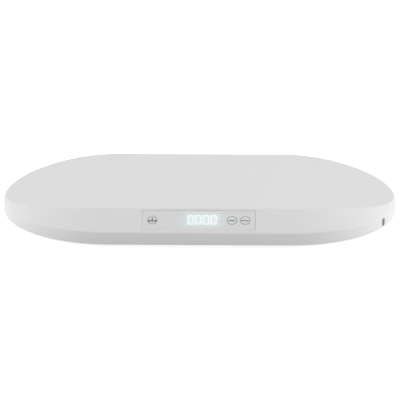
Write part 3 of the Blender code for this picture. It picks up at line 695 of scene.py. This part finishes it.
def makePlatform():
    skin = platformBody("platformSkin", platform)

    # The same rule again, one wall smaller, hollows it out from below
    wall = platform["wall"]
    hollow = dict(platform)
    for size in ("halfLength", "halfDepth", "endReach", "panLow", "shoulderRadius", "skirtBottom"):
        hollow[size] -= wall
    hollow["panRadius"] += wall
    hollow["skirtTop"] -= wall * (1 - sin(platform["slope"])) / cos(platform["slope"])
    hollow["skirtEdge"] = 0.0
    cut(skin, platformBody("platformHollow", hollow))

    # Pocket for the panel, its mouth a little wider, and the window behind it
    clear = platform["clear"]
    lip = panel["lip"]
    middle = (0, panel["rise"])
    length = panel["length"] + 2 * panel["gap"]
    width = panel["width"] + 2 * panel["gap"]
    levels = ((0, -panel["thickness"] - panel["gap"]), (0, -lip), (lip, 0), (clear, clear - lip))
    cutRounded(skin, "pocket", slopeFrame, length, width, panel["corner"], levels, middle)
    length = panel["length"] - 2 * panel["ledge"]
    width = panel["width"] - 2 * panel["ledge"]
    levels = ((0, -panel["windowDepth"]), (0, 0))
    cutRounded(skin, "window", slopeFrame, length, width, panel["windowCorner"], levels, middle)

    # Hole for the charging socket, flared at its mouth
    flare = port["flare"]
    levels = ((0, -port["depth"]), (0, -flare), (flare, 0), (clear, clear - flare))
    width = port["width"]
    cutRounded(skin, "portHole", portFrame, width, port["tall"], slotRadius(width), levels)
    dress(skin, "white", 25)
    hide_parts("platform_shell")
    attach(skin, "platform")
    return skin


portFrame = findPortFrame()
skin = makePlatform()
print("platform done:", len(skin.data.polygons), "faces")


# Display panel, keys and what is printed on them

def makePanel():
    outlines = [roundedRectangle(panel["length"], panel["width"], panel["corner"], (0, panel["rise"]), 8)]
    for place in keyPlaces.values():
        outlines.append(circle(panel["keyRadius"] + panel["keyGap"], (place, panel["keyRise"]), 96))
    low = -panel["thickness"]
    made = plate("displayPanel", outlines, low, -panel["sink"], "panel", slopeFrame, panel["edge"])
    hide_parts("display_lens")
    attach(made, "platform")


keyCap = {
    "edge": 0.12 * mm,
    "edgeSteps": 4,
    "flangeWidth": 1.4 * mm,
    "flangeThickness": 1.1 * mm,
    "stemRadius": 2.5 * mm,
    "stemLength": 2 * mm,
}


def makeKey(key):
    radius = panel["keyRadius"]
    top = panel["keyTop"]
    edge = keyCap["edge"]
    flange = radius + keyCap["flangeWidth"]
    seat = -panel["thickness"] - panel["gap"]
    under = seat - keyCap["flangeThickness"]
    stem = keyCap["stemRadius"]
    tip = under - keyCap["stemLength"]
    profile = [(0, top)]
    for turn in quarterTurn(keyCap["edgeSteps"]):
        profile.append((radius - edge * (1 - sin(turn)), top - edge * (1 - cos(turn))))
    profile += [(radius, seat), (flange, seat), (flange, under), (stem, under), (stem, tip), (0, tip)]
    bm = addTurned(bmesh.new(), profile, 96, (keyPlaces[key], panel["keyRise"]))
    made = objectFrom(bm, "keyCap_" + key, "panel", slopeFrame)
    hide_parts("key_" + key)
    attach(made, "key_" + key)


marks = {
    "ringRadius": 6.55 * mm,
    "ringWidth": 0.54 * mm,
    "height": 0.03 * mm,
    "sunk": 0.01 * mm,
    "headSpread": 0.75,  # half an arrow head's width over its length
}

# A sign has two arrow heads on a line, pointing inwards where their length is negative.
# A tail is where it starts, where it ends and its width, and the rest is what its shape's function takes.
signs = {
    "tare": {
        "line": -1.35 * mm,
        "tip": 1.7 * mm,
        "head": -2.6 * mm,
        "tail": (4.3 * mm, 5.3 * mm, 2.5 * mm),
        "power": (1.5 * mm, 0.7 * mm, radians(38), 2.2 * mm),
        "powerBar": (0, 2.4 * mm, 0, 4.1 * mm, 0.7 * mm),
        "nought": (2.0 * mm, 1.35 * mm, 0.75, -1.35 * mm),
    },
    "unit": {
        "line": -0.45 * mm,
        "tip": 4.2 * mm,
        "head": 1.8 * mm,
        "aside": -0.2 * mm,
        "shaft": (-2.6 * mm, -0.45 * mm, 2.2 * mm, -0.45 * mm, 1.2 * mm),
    },
    "hold": {
        "line": -0.45 * mm,
        "tip": 1.4 * mm,
        "head": -1.7 * mm,
        "tail": (3.1 * mm, 5.2 * mm, 1.1 * mm),
        "pause": (0.6 * mm, 0.95 * mm, 0.75 * mm),  # a bar's place, half its height, and its width
    },
}


# Flat printed shapes on a key, each an outline round the key's middle
def bar(x0, y0, x1, y1, width):
    along = Vector((x1 - x0, y1 - y0)).normalized() * width / 2
    side = Vector((-along.y, along.x))
    ends = (Vector((x0, y0)), Vector((x1, y1)))
    return [tuple(ends[0] - side), tuple(ends[1] - side), tuple(ends[1] + side), tuple(ends[0] + side)]


def arrowHead(tipX, y, length):
    back = tipX - length
    spread = abs(length) * marks["headSpread"]
    return [(tipX, y), (back, y + spread), (back, y - spread)]


def ringShape(radius, width, stretch=1.0, rise=0, steps=48):
    rings = (circle(radius, (0, rise), steps), circle(radius - width, (0, rise), steps))
    return [[(x * stretch, y) for x, y in ring] for ring in rings]


def openRing(radius, width, opening, rise, steps=30):
    turns = [pi / 2 + opening + (2 * pi - 2 * opening) * i / steps for i in range(steps + 1)]
    outer = [(radius * cos(a), rise + radius * sin(a)) for a in turns]
    inner = [((radius - width) * cos(a), rise + (radius - width) * sin(a)) for a in reversed(turns)]
    return outer + inner


def signShapes(key):
    sign = signs[key]
    y = sign["line"]
    if key == "tare":
        # a power sign above a nought
        shapes = [[openRing(*sign["power"])], [bar(*sign["powerBar"])], ringShape(*sign["nought"])]
    elif key == "unit":
        # the shaft of an arrow with a head at each end
        shapes = [[bar(*sign["shaft"])]]
    else:
        # a pause sign
        place, half, width = sign["pause"]
        shapes = [[bar(x, y - half, x, y + half, width)] for x in (-place, place)]
    for side in (-1, 1):
        shapes.append([arrowHead(side * sign["tip"] + sign.get("aside", 0), y, side * sign["head"])])
        if "tail" in sign:
            start, end, width = sign["tail"]
            shapes.append([bar(side * start, y, side * end, y, width)])
    return shapes


def makeMarks(key):
    top = panel["keyTop"] - marks["sunk"]
    shapes = signShapes(key) + [ringShape(marks["ringRadius"], marks["ringWidth"], steps=96)]
    bm = bmesh.new()
    place = Matrix.Translation((keyPlaces[key], panel["keyRise"], 0))
    for number, outlines in enumerate(shapes):
        piece = plate(f"mark{number}", outlines, top, top + marks["height"], "ink")
        piece.data.transform(place)
        bm.from_mesh(piece.data)
        bpy.data.objects.remove(piece, do_unlink=True)
    made = objectFrom(bm, "keyPrint_" + key, "ink", slopeFrame)
    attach(made, "key_" + key)


# The lit figures: seven-segment noughts, built by one tree from a six-sided stroke
def digitTree():
    board, size = newTree("digitRule", ("pitch", "width", "height", "stroke", "gap", "thickness"), ("count",))
    halfWidth = (size["width"] - size["stroke"]) / 2
    halfHeight = (size["height"] - size["stroke"]) / 2
    hexagon = 0.866  # a six-sided outline's height over its width

    # The prism is stretched in its middle, so that its ends stay pointed
    def stroke(length, turned, x, y):
        sides = {"Vertices": 6, "Radius": 0.5, "Depth": 1.0, "Side Segments": 1}
        prism = board.node("GeometryNodeMeshCylinder", sides)
        px, py, pz = board.node("GeometryNodeInputPosition").xyz()
        side = px.maths("SIGN")
        inner = 1 - abs(px).over(0.4, 0.1)
        body = length / 2 - size["stroke"] / 2 * inner
        sideways = side * abs(px).over(0.1, 0.05) * body
        flat = point(board, sideways, py / hexagon * size["stroke"], pz * size["thickness"])
        shaped = board.node("GeometryNodeSetPosition", {"Geometry": prism, "Position": flat})
        turn = (0, 0, pi / 2 if turned else 0)
        moved = {"Geometry": shaped, "Translation": point(board, x, y, 0.0), "Rotation": turn}
        return board.node("GeometryNodeTransform", moved)

    level = size["width"] - size["stroke"] - 2 * size["gap"]
    upright = halfHeight - 2 * size["gap"]
    strokes = []
    for side in (-1, 1):
        strokes.append(stroke(level, False, 0.0, halfHeight * side))
        for x in (-1, 1):
            strokes.append(stroke(upright, True, halfWidth * x, halfHeight * (side / 2)))
    nought = board.node("GeometryNodeJoinGeometry", [strokes])
    offset = point(board, size["pitch"], 0.0, 0.0)
    start = point(board, size["pitch"] * (size["count"] - 1) / -2, 0.0, 0.0)
    spread = {"Count": size["count"], "Start Location": start, "Offset": offset}
    row = board.node("GeometryNodeMeshLine", spread)
    endTree(board, board.node("GeometryNodeInstanceOnPoints", {"Points": row, "Instance": nought}))
    return board


def makeDigits():
    proud = display["proud"]
    made = grow("litDigits", digitTree(), {**display, "thickness": proud * 2}, "lit")
    made.data.transform(slopeFrame @ Matrix.Translation((display["place"], display["rise"], -panel["sink"])))
    dress(made, "lit", 40)
    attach(made, "platform")
    profile = [(0, proud), (display["dot"], proud), (display["dot"], -proud), (0, -proud)]
    bm = addTurned(bmesh.new(), profile, 32, (display["dotPlace"], display["dotRise"]))
    dot = objectFrom(bm, "litDot", "lit", slopeFrame @ Matrix.Translation((0, 0, -panel["sink"])))
    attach(dot, "platform")


makePanel()
for key in keys:
    makeKey(key)
    makeMarks(key)
makeDigits()
print("panel done")


# Underside: base cover, its screws, and the four feet

cover = {
    "inset": 3.3 * mm,  # from the platform's outline
    "low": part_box("base_cover")[0].z,
    "thickness": 2.4 * mm,
    "edge": 0.5 * mm,
    "clear": 1 * mm,  # how far the cutters stand out of it
    "footHole": 15.6 * mm,
    "rimStep": 0.2 * mm,
    "rimWidth": 1.5 * mm,
    "rimProud": 0.35 * mm,
    "rimRoot": 1 * mm,
    "standoff": 3 * mm,
    "standoffRadius": 3 * mm,
    "standoffBore": 1.4 * mm,
    "standoffRoot": 0.5 * mm,
    "standoffInset": 4 * mm,
    "standoffRows": (-34 * mm, 14 * mm),
    "screwBore": 1.6 * mm,
    "headRoom": 3.3 * mm,
    "headDepth": 1.4 * mm,
    "headFlare": 0.3 * mm,
    "headProud": 0.3 * mm,
    "labelLength": 70 * mm,
    "labelDepth": 36 * mm,
    "labelCorner": 2.5 * mm,
    "labelPlace": -platform["halfDepth"] / 2,
    "labelRecess": 0.4 * mm,
    "grooves": 9,
    "groovePitch": 5 * mm,
    "grooveLength": 150 * mm,
    "grooveWidth": 1.6 * mm,
    "grooveDepth": 0.4 * mm,
    "groovePlace": 60 * mm,
}
footPlaces = {corner: middleOf("foot_" + corner) for corner in corners}
screwPlaces = [middleOf(f"base_screw_{i}") for i in range(1, 9)]


# The platform's outline from above, moved inwards
def planOutline(inset, steps=48):
    a = platform["endReach"]
    b = platform["halfDepth"]
    points = []
    for side, start in ((1, -pi / 2), (-1, pi / 2)):
        for step in range(steps + 1):
            angle = start + pi * step / steps
            norm = hypot(b * cos(angle), a * sin(angle))
            x = side * (platform["halfLength"] - a) + a * cos(angle) - inset * b * cos(angle) / norm
            points.append((x, b * sin(angle) - inset * a * sin(angle) / norm))
    return points


def makeCover():
    c = cover
    low = c["low"]
    high = low + c["thickness"]
    under = low - c["clear"]
    hole = c["footHole"]
    outlines = [planOutline(c["inset"])]
    outlines += [circle(hole, place, 72) for place in footPlaces.values()]
    outlines += [circle(c["screwBore"], place, 24) for place in screwPlaces]
    made = plate("baseCover", outlines, low, high, "under", None, c["edge"])

    # raised rims round the feet, and the standoffs that carry the board inside
    for place in footPlaces.values():
        rings = [circle(hole + c["rimWidth"], place, 72), circle(hole + c["rimStep"], place, 72)]
        cut(made, plate("rim", rings, low - c["rimProud"], low + c["rimRoot"]), "UNION")
    boardLow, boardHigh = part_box("main_board")
    inset = c["standoffInset"]
    radius, bore = c["standoffRadius"], c["standoffBore"]
    top, root = high + c["standoff"], high - c["standoffRoot"]
    profile = [(bore, top), (radius, top), (radius, root), (bore, root), (bore, top)]
    bm = bmesh.new()
    for x in (boardLow.x + inset, boardHigh.x - inset):
        for y in c["standoffRows"]:
            addTurned(bm, profile, 32, (x, y))
    bmesh.ops.remove_doubles(bm, verts=bm.verts, dist=touch)
    cut(made, objectFrom(bm, "standoffs"), "UNION")

    # room for the screw heads, a bare label field and a field of grip grooves
    room = c["headRoom"]
    flare = c["headFlare"]
    top = low + c["headDepth"]
    profile = [(0, top), (room, top), (room, low + flare), (room + flare + c["clear"], under), (0, under)]
    bm = bmesh.new()
    for place in screwPlaces:
        addTurned(bm, profile, 48, place)
    cut(made, objectFrom(bm, "headRooms"))
    place = (0, c["labelPlace"])
    field = roundedRectangle(c["labelLength"], c["labelDepth"], c["labelCorner"], place, 8)
    cut(made, plate("label", [field], under, low + c["labelRecess"]))
    width = c["grooveWidth"]
    levels = ((0, under), (0, low + c["grooveDepth"]))
    bm = bmesh.new()
    for number in range(c["grooves"]):
        y = c["groovePlace"] + (number - (c["grooves"] - 1) / 2) * c["groovePitch"]
        addRounded(bm, c["grooveLength"], width, slotRadius(width), levels, (0, y))
    cut(made, objectFrom(bm, "grooves"))
    dress(made, "under", 25)
    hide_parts("base_cover")
    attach(made, "platform")


screws = {
    "headRadius": 3 * mm,
    "headHeight": 1.4 * mm,
    "shankRadius": 1.3 * mm,
    "length": 10 * mm,
    "recessReach": 1.75 * mm,
    "recessWidth": 0.62 * mm,
    "recessDepth": 0.9 * mm,
    "steps": 36,
    "seed": 7,
}


# One screw with a domed head and a cross recess, set on each point it is given, turned at random
def screwTree():
    ints = ("steps", "seed")
    board, size = newTree("screwRule", [name for name in screws if name not in ints], ints)

    # A rod from 0 to 1 in height, its radius following a profile
    def shaped(radius, depth, profile):
        sides = {"Vertices": size["steps"], "Radius": 1.0, "Depth": 1.0, "Side Segments": 6}
        rod = board.node("GeometryNodeMeshCylinder", sides)
        x, y, z = board.node("GeometryNodeInputPosition").xyz()
        share = z + 0.5
        reach = profile(share) * radius
        where = point(board, x * reach, y * reach, share * depth)
        return board.node("GeometryNodeSetPosition", {"Geometry": rod, "Position": where})

    # the head narrows to its top, and the shank only at its tip
    head = shaped(size["headRadius"], size["headHeight"], lambda t: 1 - 0.28 * t ** 3.0)
    shank = shaped(size["shankRadius"], -1 * size["length"], lambda t: 1 - 0.8 * (t - 0.9).atLeast(0.0) * 10)
    shank = board.node("GeometryNodeFlipFaces", [shank])
    bars = []
    for turned in (0, pi / 2):
        cross = point(board, 2 * size["recessReach"], size["recessWidth"], 2 * size["recessDepth"])
        lift = point(board, 0.0, 0.0, size["headHeight"])
        block = board.node("GeometryNodeMeshCube", {"Size": cross})
        placed = {"Geometry": block, "Translation": lift, "Rotation": (0, 0, turned)}
        bars.append(board.node("GeometryNodeTransform", placed))
    kind = "GeometryNodeMeshBoolean"
    drilled = board.node(kind, {"Mesh 1": head, "Mesh 2": bars}, operation="DIFFERENCE", solver="EXACT")
    screw = board.node(kind, {"Mesh 2": [drilled, shank]}, operation="UNION", solver="EXACT")
    turns = {2: 0, 3: 2 * pi, "Seed": size["seed"]}
    spin = board.node("FunctionNodeRandomValue", turns, 1, data_type="FLOAT")
    placing = {"Points": size["Geometry"], "Instance": screw, "Rotation": point(board, 0.0, 0.0, spin)}
    endTree(board, board.node("GeometryNodeInstanceOnPoints", placing))
    return board


def makeScrews():
    points = bpy.data.meshes.new("baseScrews")
    points.from_pydata([(x, -y, 0) for x, y in screwPlaces], [], [])
    made = grow("baseScrews", screwTree(), screws, "steel", points)
    height = cover["low"] + cover["headDepth"] - cover["headProud"]
    made.data.transform(Matrix.Translation((0, 0, height)) @ Matrix.Rotation(pi, 4, "X"))
    dress(made, "steel", 35)
    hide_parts(*[f"base_screw_{i}" for i in range(1, 9)])
    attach(made, "platform")


feet = {
    "radius": 15 * mm,
    "rim": 1 * mm,
    "edge": 0.8 * mm,
    "edgeSteps": 5,
    "flange": 17.6 * mm,
    "flangeLow": 9.3 * mm,
    "flangeTop": 10.5 * mm,
    "noseRadius": 5 * mm,
    "noseTaper": 0.4 * mm,
    "chamfer": 0.3 * mm,
    "top": 10.9 * mm,
    "steps": 96,
}
pads = {
    "radius": 13.5 * mm,
    "thickness": 2 * mm,
    "gap": 0.3 * mm,
    "chamfer": 0.2 * mm,
    "edge": 0.5 * mm,
    "edgeBend": 0.15 * mm,
    "rings": 5,
    "ringDepth": 0.35 * mm,
    "ringMouth": 0.6 * mm,
    "ringFloor": 0.35 * mm,
}


def makeFoot(corner):
    f = feet
    reach = f["radius"]
    nose = f["noseRadius"]
    flange = f["flange"]
    high = f["flangeTop"]
    recess = pads["radius"] + pads["gap"]
    bottom = pads["thickness"] + pads["gap"]
    profile = [(0, f["top"]), (nose - f["noseTaper"], f["top"]), (nose, f["top"] - f["chamfer"])]
    profile += [(nose, high), (flange - f["chamfer"], high), (flange, high - f["chamfer"])]
    profile += [(flange, f["flangeLow"]), (reach, f["flangeLow"])]
    for turn in quarterTurn(f["edgeSteps"]):
        profile.append((reach - f["edge"] * (1 - cos(turn)), f["rim"] + f["edge"] * (1 - sin(turn))))
    chamfer = pads["chamfer"]
    profile += [(recess + chamfer, f["rim"]), (recess, f["rim"] + chamfer), (recess, bottom), (0, bottom)]
    bm = addTurned(bmesh.new(), profile, f["steps"], footPlaces[corner])
    made = objectFrom(bm, "footBody_" + corner, "white")
    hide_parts("foot_" + corner)
    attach(made, "foot_" + corner)


# A rubber pad with rings cut in its face
def makePad(corner):
    p = pads
    reach = p["radius"]
    high = p["thickness"]
    bend = p["edgeBend"]
    profile = [(0, high), (reach - p["chamfer"], high), (reach, high - p["chamfer"])]
    profile += [(reach, p["edge"]), (reach - bend, bend), (reach - p["edge"], 0)]
    for ring in range(p["rings"], 0, -1):
        at = ring * (reach / (p["rings"] + 1))
        profile += [(at + p["ringMouth"], 0), (at + p["ringFloor"], p["ringDepth"])]
        profile += [(at - p["ringFloor"], p["ringDepth"]), (at - p["ringMouth"], 0)]
    profile.append((0, 0))
    bm = addTurned(bmesh.new(), profile, feet["steps"], footPlaces[corner])
    pad = objectFrom(bm, "footRubber_" + corner, "rubber")
    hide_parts("foot_pad_" + corner)
    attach(pad, "foot_" + corner)


# Charging socket: a nose in the skirt's hole, a mouth in it, and a tongue with contacts in the mouth
socket = {
    "gap": 0.3 * mm,
    "recess": 0.8 * mm,  # its front under the skirt
    "edge": 0.4 * mm,
    "edgeBend": 0.12 * mm,
    "root": 0.2 * mm,
    "blockWidth": 12 * mm,
    "blockDepth": 8 * mm,
    "blockCorner": 0.6 * mm,
    "clear": 1 * mm,  # how far the mouth's cutter stands out
    "mouthWidth": 3.2 * mm,
    "mouthTall": 9 * mm,
    "mouthDepth": 6 * mm,
    "mouthFlare": 0.35 * mm,
    "tongueThickness": 0.7 * mm,
    "tongueTall": 6.4 * mm,
    "tongueCorner": 0.2 * mm,
    "tongueEdge": 0.1 * mm,
    "tongueRoot": 0.5 * mm,
    "tongueBack": 1.2 * mm,  # its tip behind the front
    "contacts": 6,
    "contactPitch": 0.95 * mm,
    "contactTall": 0.5 * mm,
    "contactThickness": 0.06 * mm,
    "contactCorner": 0.02 * mm,
    "contactPlace": 0.37 * mm,
    "contactStart": 0.3 * mm,
    "contactBack": 1.6 * mm,
}


def makeSocket():
    s = socket
    gap = s["gap"]
    edge = s["edge"]
    bend = s["edgeBend"]
    front = -s["recess"]
    inside = -platform["wall"] - gap
    floor = front - s["mouthDepth"]
    width = port["width"] - 2 * gap
    levels = ((0, inside - s["root"]), (0, front - edge), (-bend, front - bend), (-edge, front))
    bm = addRounded(bmesh.new(), width, port["tall"] - 2 * gap, slotRadius(width), levels, (0, 0), 10)
    nose = objectFrom(bm, "chargingSocket")
    low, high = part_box("charging_socket")
    middle = (0, (low.z + high.z) / 2 - port["height"])
    levels = ((0, inside - s["blockDepth"]), (0, inside))
    block = (s["blockWidth"], high.z - low.z, s["blockCorner"], levels, middle, 3)
    cutRounded(nose, "block", None, *block, operation="UNION")
    width = s["mouthWidth"]
    flare = s["mouthFlare"]
    clear = s["clear"]
    levels = ((0, floor), (0, front - flare), (flare, front), (flare + clear, front + clear))
    cutRounded(nose, "mouth", None, width, s["mouthTall"], slotRadius(width), levels, (0, 0), 10)
    nose.data.transform(portFrame)
    dress(nose, "socket")
    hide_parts("charging_socket")
    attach(nose, "platform")

    outline = roundedRectangle(s["tongueThickness"], s["tongueTall"], s["tongueCorner"])
    start = floor - s["tongueRoot"]
    end = front - s["tongueBack"]
    tongue = plate("socketTongue", [outline], start, end, "black", None, s["tongueEdge"])
    tongue.data.transform(portFrame)
    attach(tongue, "platform")
    size = (s["contactThickness"], s["contactTall"], s["contactCorner"])
    levels = ((0, floor + s["contactStart"]), (0, front - s["contactBack"]))
    bm = bmesh.new()
    for number in range(s["contacts"]):
        y = (number - (s["contacts"] - 1) / 2) * s["contactPitch"]
        for side in (-1, 1):
            addRounded(bm, *size, levels, (side * s["contactPlace"], y), 2)
    contacts = objectFrom(bm, "socketContacts", "steel", portFrame)
    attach(contacts, "platform")


makeCover()
makeScrews()
for corner in corners:
    makeFoot(corner)
    makePad(corner)
makeSocket()
print("underside and socket done")


# CAD nodes that keep their shape take a finish each
kept = {
    "black": ["battery_holder"]
    + ["load_cell_carrier_" + c for c in corners]
    + ["switch_plunger_" + k for k in keys],
    "diffuser": ["digit_display"],
    "board": ["display_board", "main_board"],
    "battery": ["battery_pack"],
    "lead": ["load_cell_lead_" + c for c in corners] + ["battery_lead", "charging_lead", "display_lead"],
    "steel": ["load_cell_" + c for c in corners]
    + ["switch_" + k for k in keys]
    + [f"{board}_screw_{i}" for board in ("main_board", "display_board") for i in range(1, 5)],
}
for material, names in kept.items():
    for name in names:
        nodes[name].data.materials.clear()
        nodes[name].data.materials.append(materials[material])
print("CAD finishes done")


# Floor, lights and camera

studio = {
    "floorSize": 8.0,
    "floorTone": 0.80,
    "floorLift": 0.80,  # added to the floor where the camera or a reflection sees it, so that it reads white
    "world": 0.44,
    "lampAim": (0, 0, 0.03),
}
lamps = {
    "top": {"place": (0, 0.3, 2.0), "size": 2.0, "power": 9.1},
    "right": {"place": (2.0, -0.2, 0.7), "size": 1.4, "power": 22.0},
    "left": {"place": (-2.0, -0.2, 0.7), "size": 1.4, "power": 18.2},
}
view = {
    "place": (0.0296, -2.7180, 1.0267),
    "lookAt": (0, 0, 0.02),
    "lens": 185.58,
    "sensor": 36,
    "clipStart": 0.05,
    "roll": radians(0.076),
    "shift": (0.00058, -0.0052),
}


# One for rays from the camera, a reflection or glass, and nothing for those that light the object
def seen(board):
    path = board.tree.nodes.new("ShaderNodeLightPath")
    rays = [Wire(board, path.outputs[f"Is {kind} Ray"]) for kind in ("Camera", "Glossy", "Transmission")]
    return rays[0].atLeast(rays[1]).atLeast(rays[2])


def makeFloor():
    bm = bmesh.new()
    bmesh.ops.create_grid(bm, x_segments=8, y_segments=8, size=studio["floorSize"] / 2)
    floor = objectFrom(bm, "floor")
    material = bpy.data.materials.new("floorWhite")
    material.use_nodes = True
    board = Board(material.node_tree)
    board.tree.nodes.clear()
    tone = studio["floorTone"]
    strength = seen(board) * studio["floorLift"]
    plain = board.node("ShaderNodeBsdfDiffuse", {"Color": (tone, tone, tone, 1)})
    lift = board.node("ShaderNodeEmission", {"Color": (1, 1, 1, 1), "Strength": strength})
    both = board.node("ShaderNodeAddShader", [plain, lift])
    leave = board.tree.nodes.new("ShaderNodeOutputMaterial")
    board.feed(leave.inputs["Surface"], both)
    floor.data.materials.append(material)


def makeWorld():
    world = bpy.data.worlds.new("studio")
    bpy.context.scene.world = world
    world.use_nodes = True
    board = Board(world.node_tree)
    board.tree.nodes.clear()
    strength = studio["world"] + seen(board) * (1 - studio["world"])
    light = board.node("ShaderNodeBackground", {"Color": (1, 1, 1, 1), "Strength": strength})
    leave = board.tree.nodes.new("ShaderNodeOutputWorld")
    board.feed(leave.inputs["Surface"], light)


def aimed(place, aim):
    return (Vector(aim) - Vector(place)).to_track_quat("-Z", "Y").to_euler()


def makeLamp(name, facts):
    lamp = bpy.data.lights.new(name, "AREA")
    lamp.size = facts["size"]
    lamp.energy = facts["power"]
    obj = link(bpy.data.objects.new(name, lamp))
    obj.location = facts["place"]
    obj.rotation_euler = aimed(facts["place"], studio["lampAim"])


def makeCamera():
    camera = bpy.data.cameras.new("camera")
    camera.lens = view["lens"]
    camera.sensor_width = view["sensor"]
    camera.clip_start = view["clipStart"]
    camera.shift_x, camera.shift_y = view["shift"]
    obj = link(bpy.data.objects.new("camera", camera))
    obj.location = view["place"]
    obj.rotation_euler = aimed(view["place"], view["lookAt"])
    obj.rotation_euler.rotate_axis("Z", view["roll"])
    bpy.context.scene.camera = obj


makeFloor()
makeWorld()
for name, facts in lamps.items():
    makeLamp(name, facts)
makeCamera()
bpy.context.scene.view_settings.view_transform = "Standard"
print("studio done")
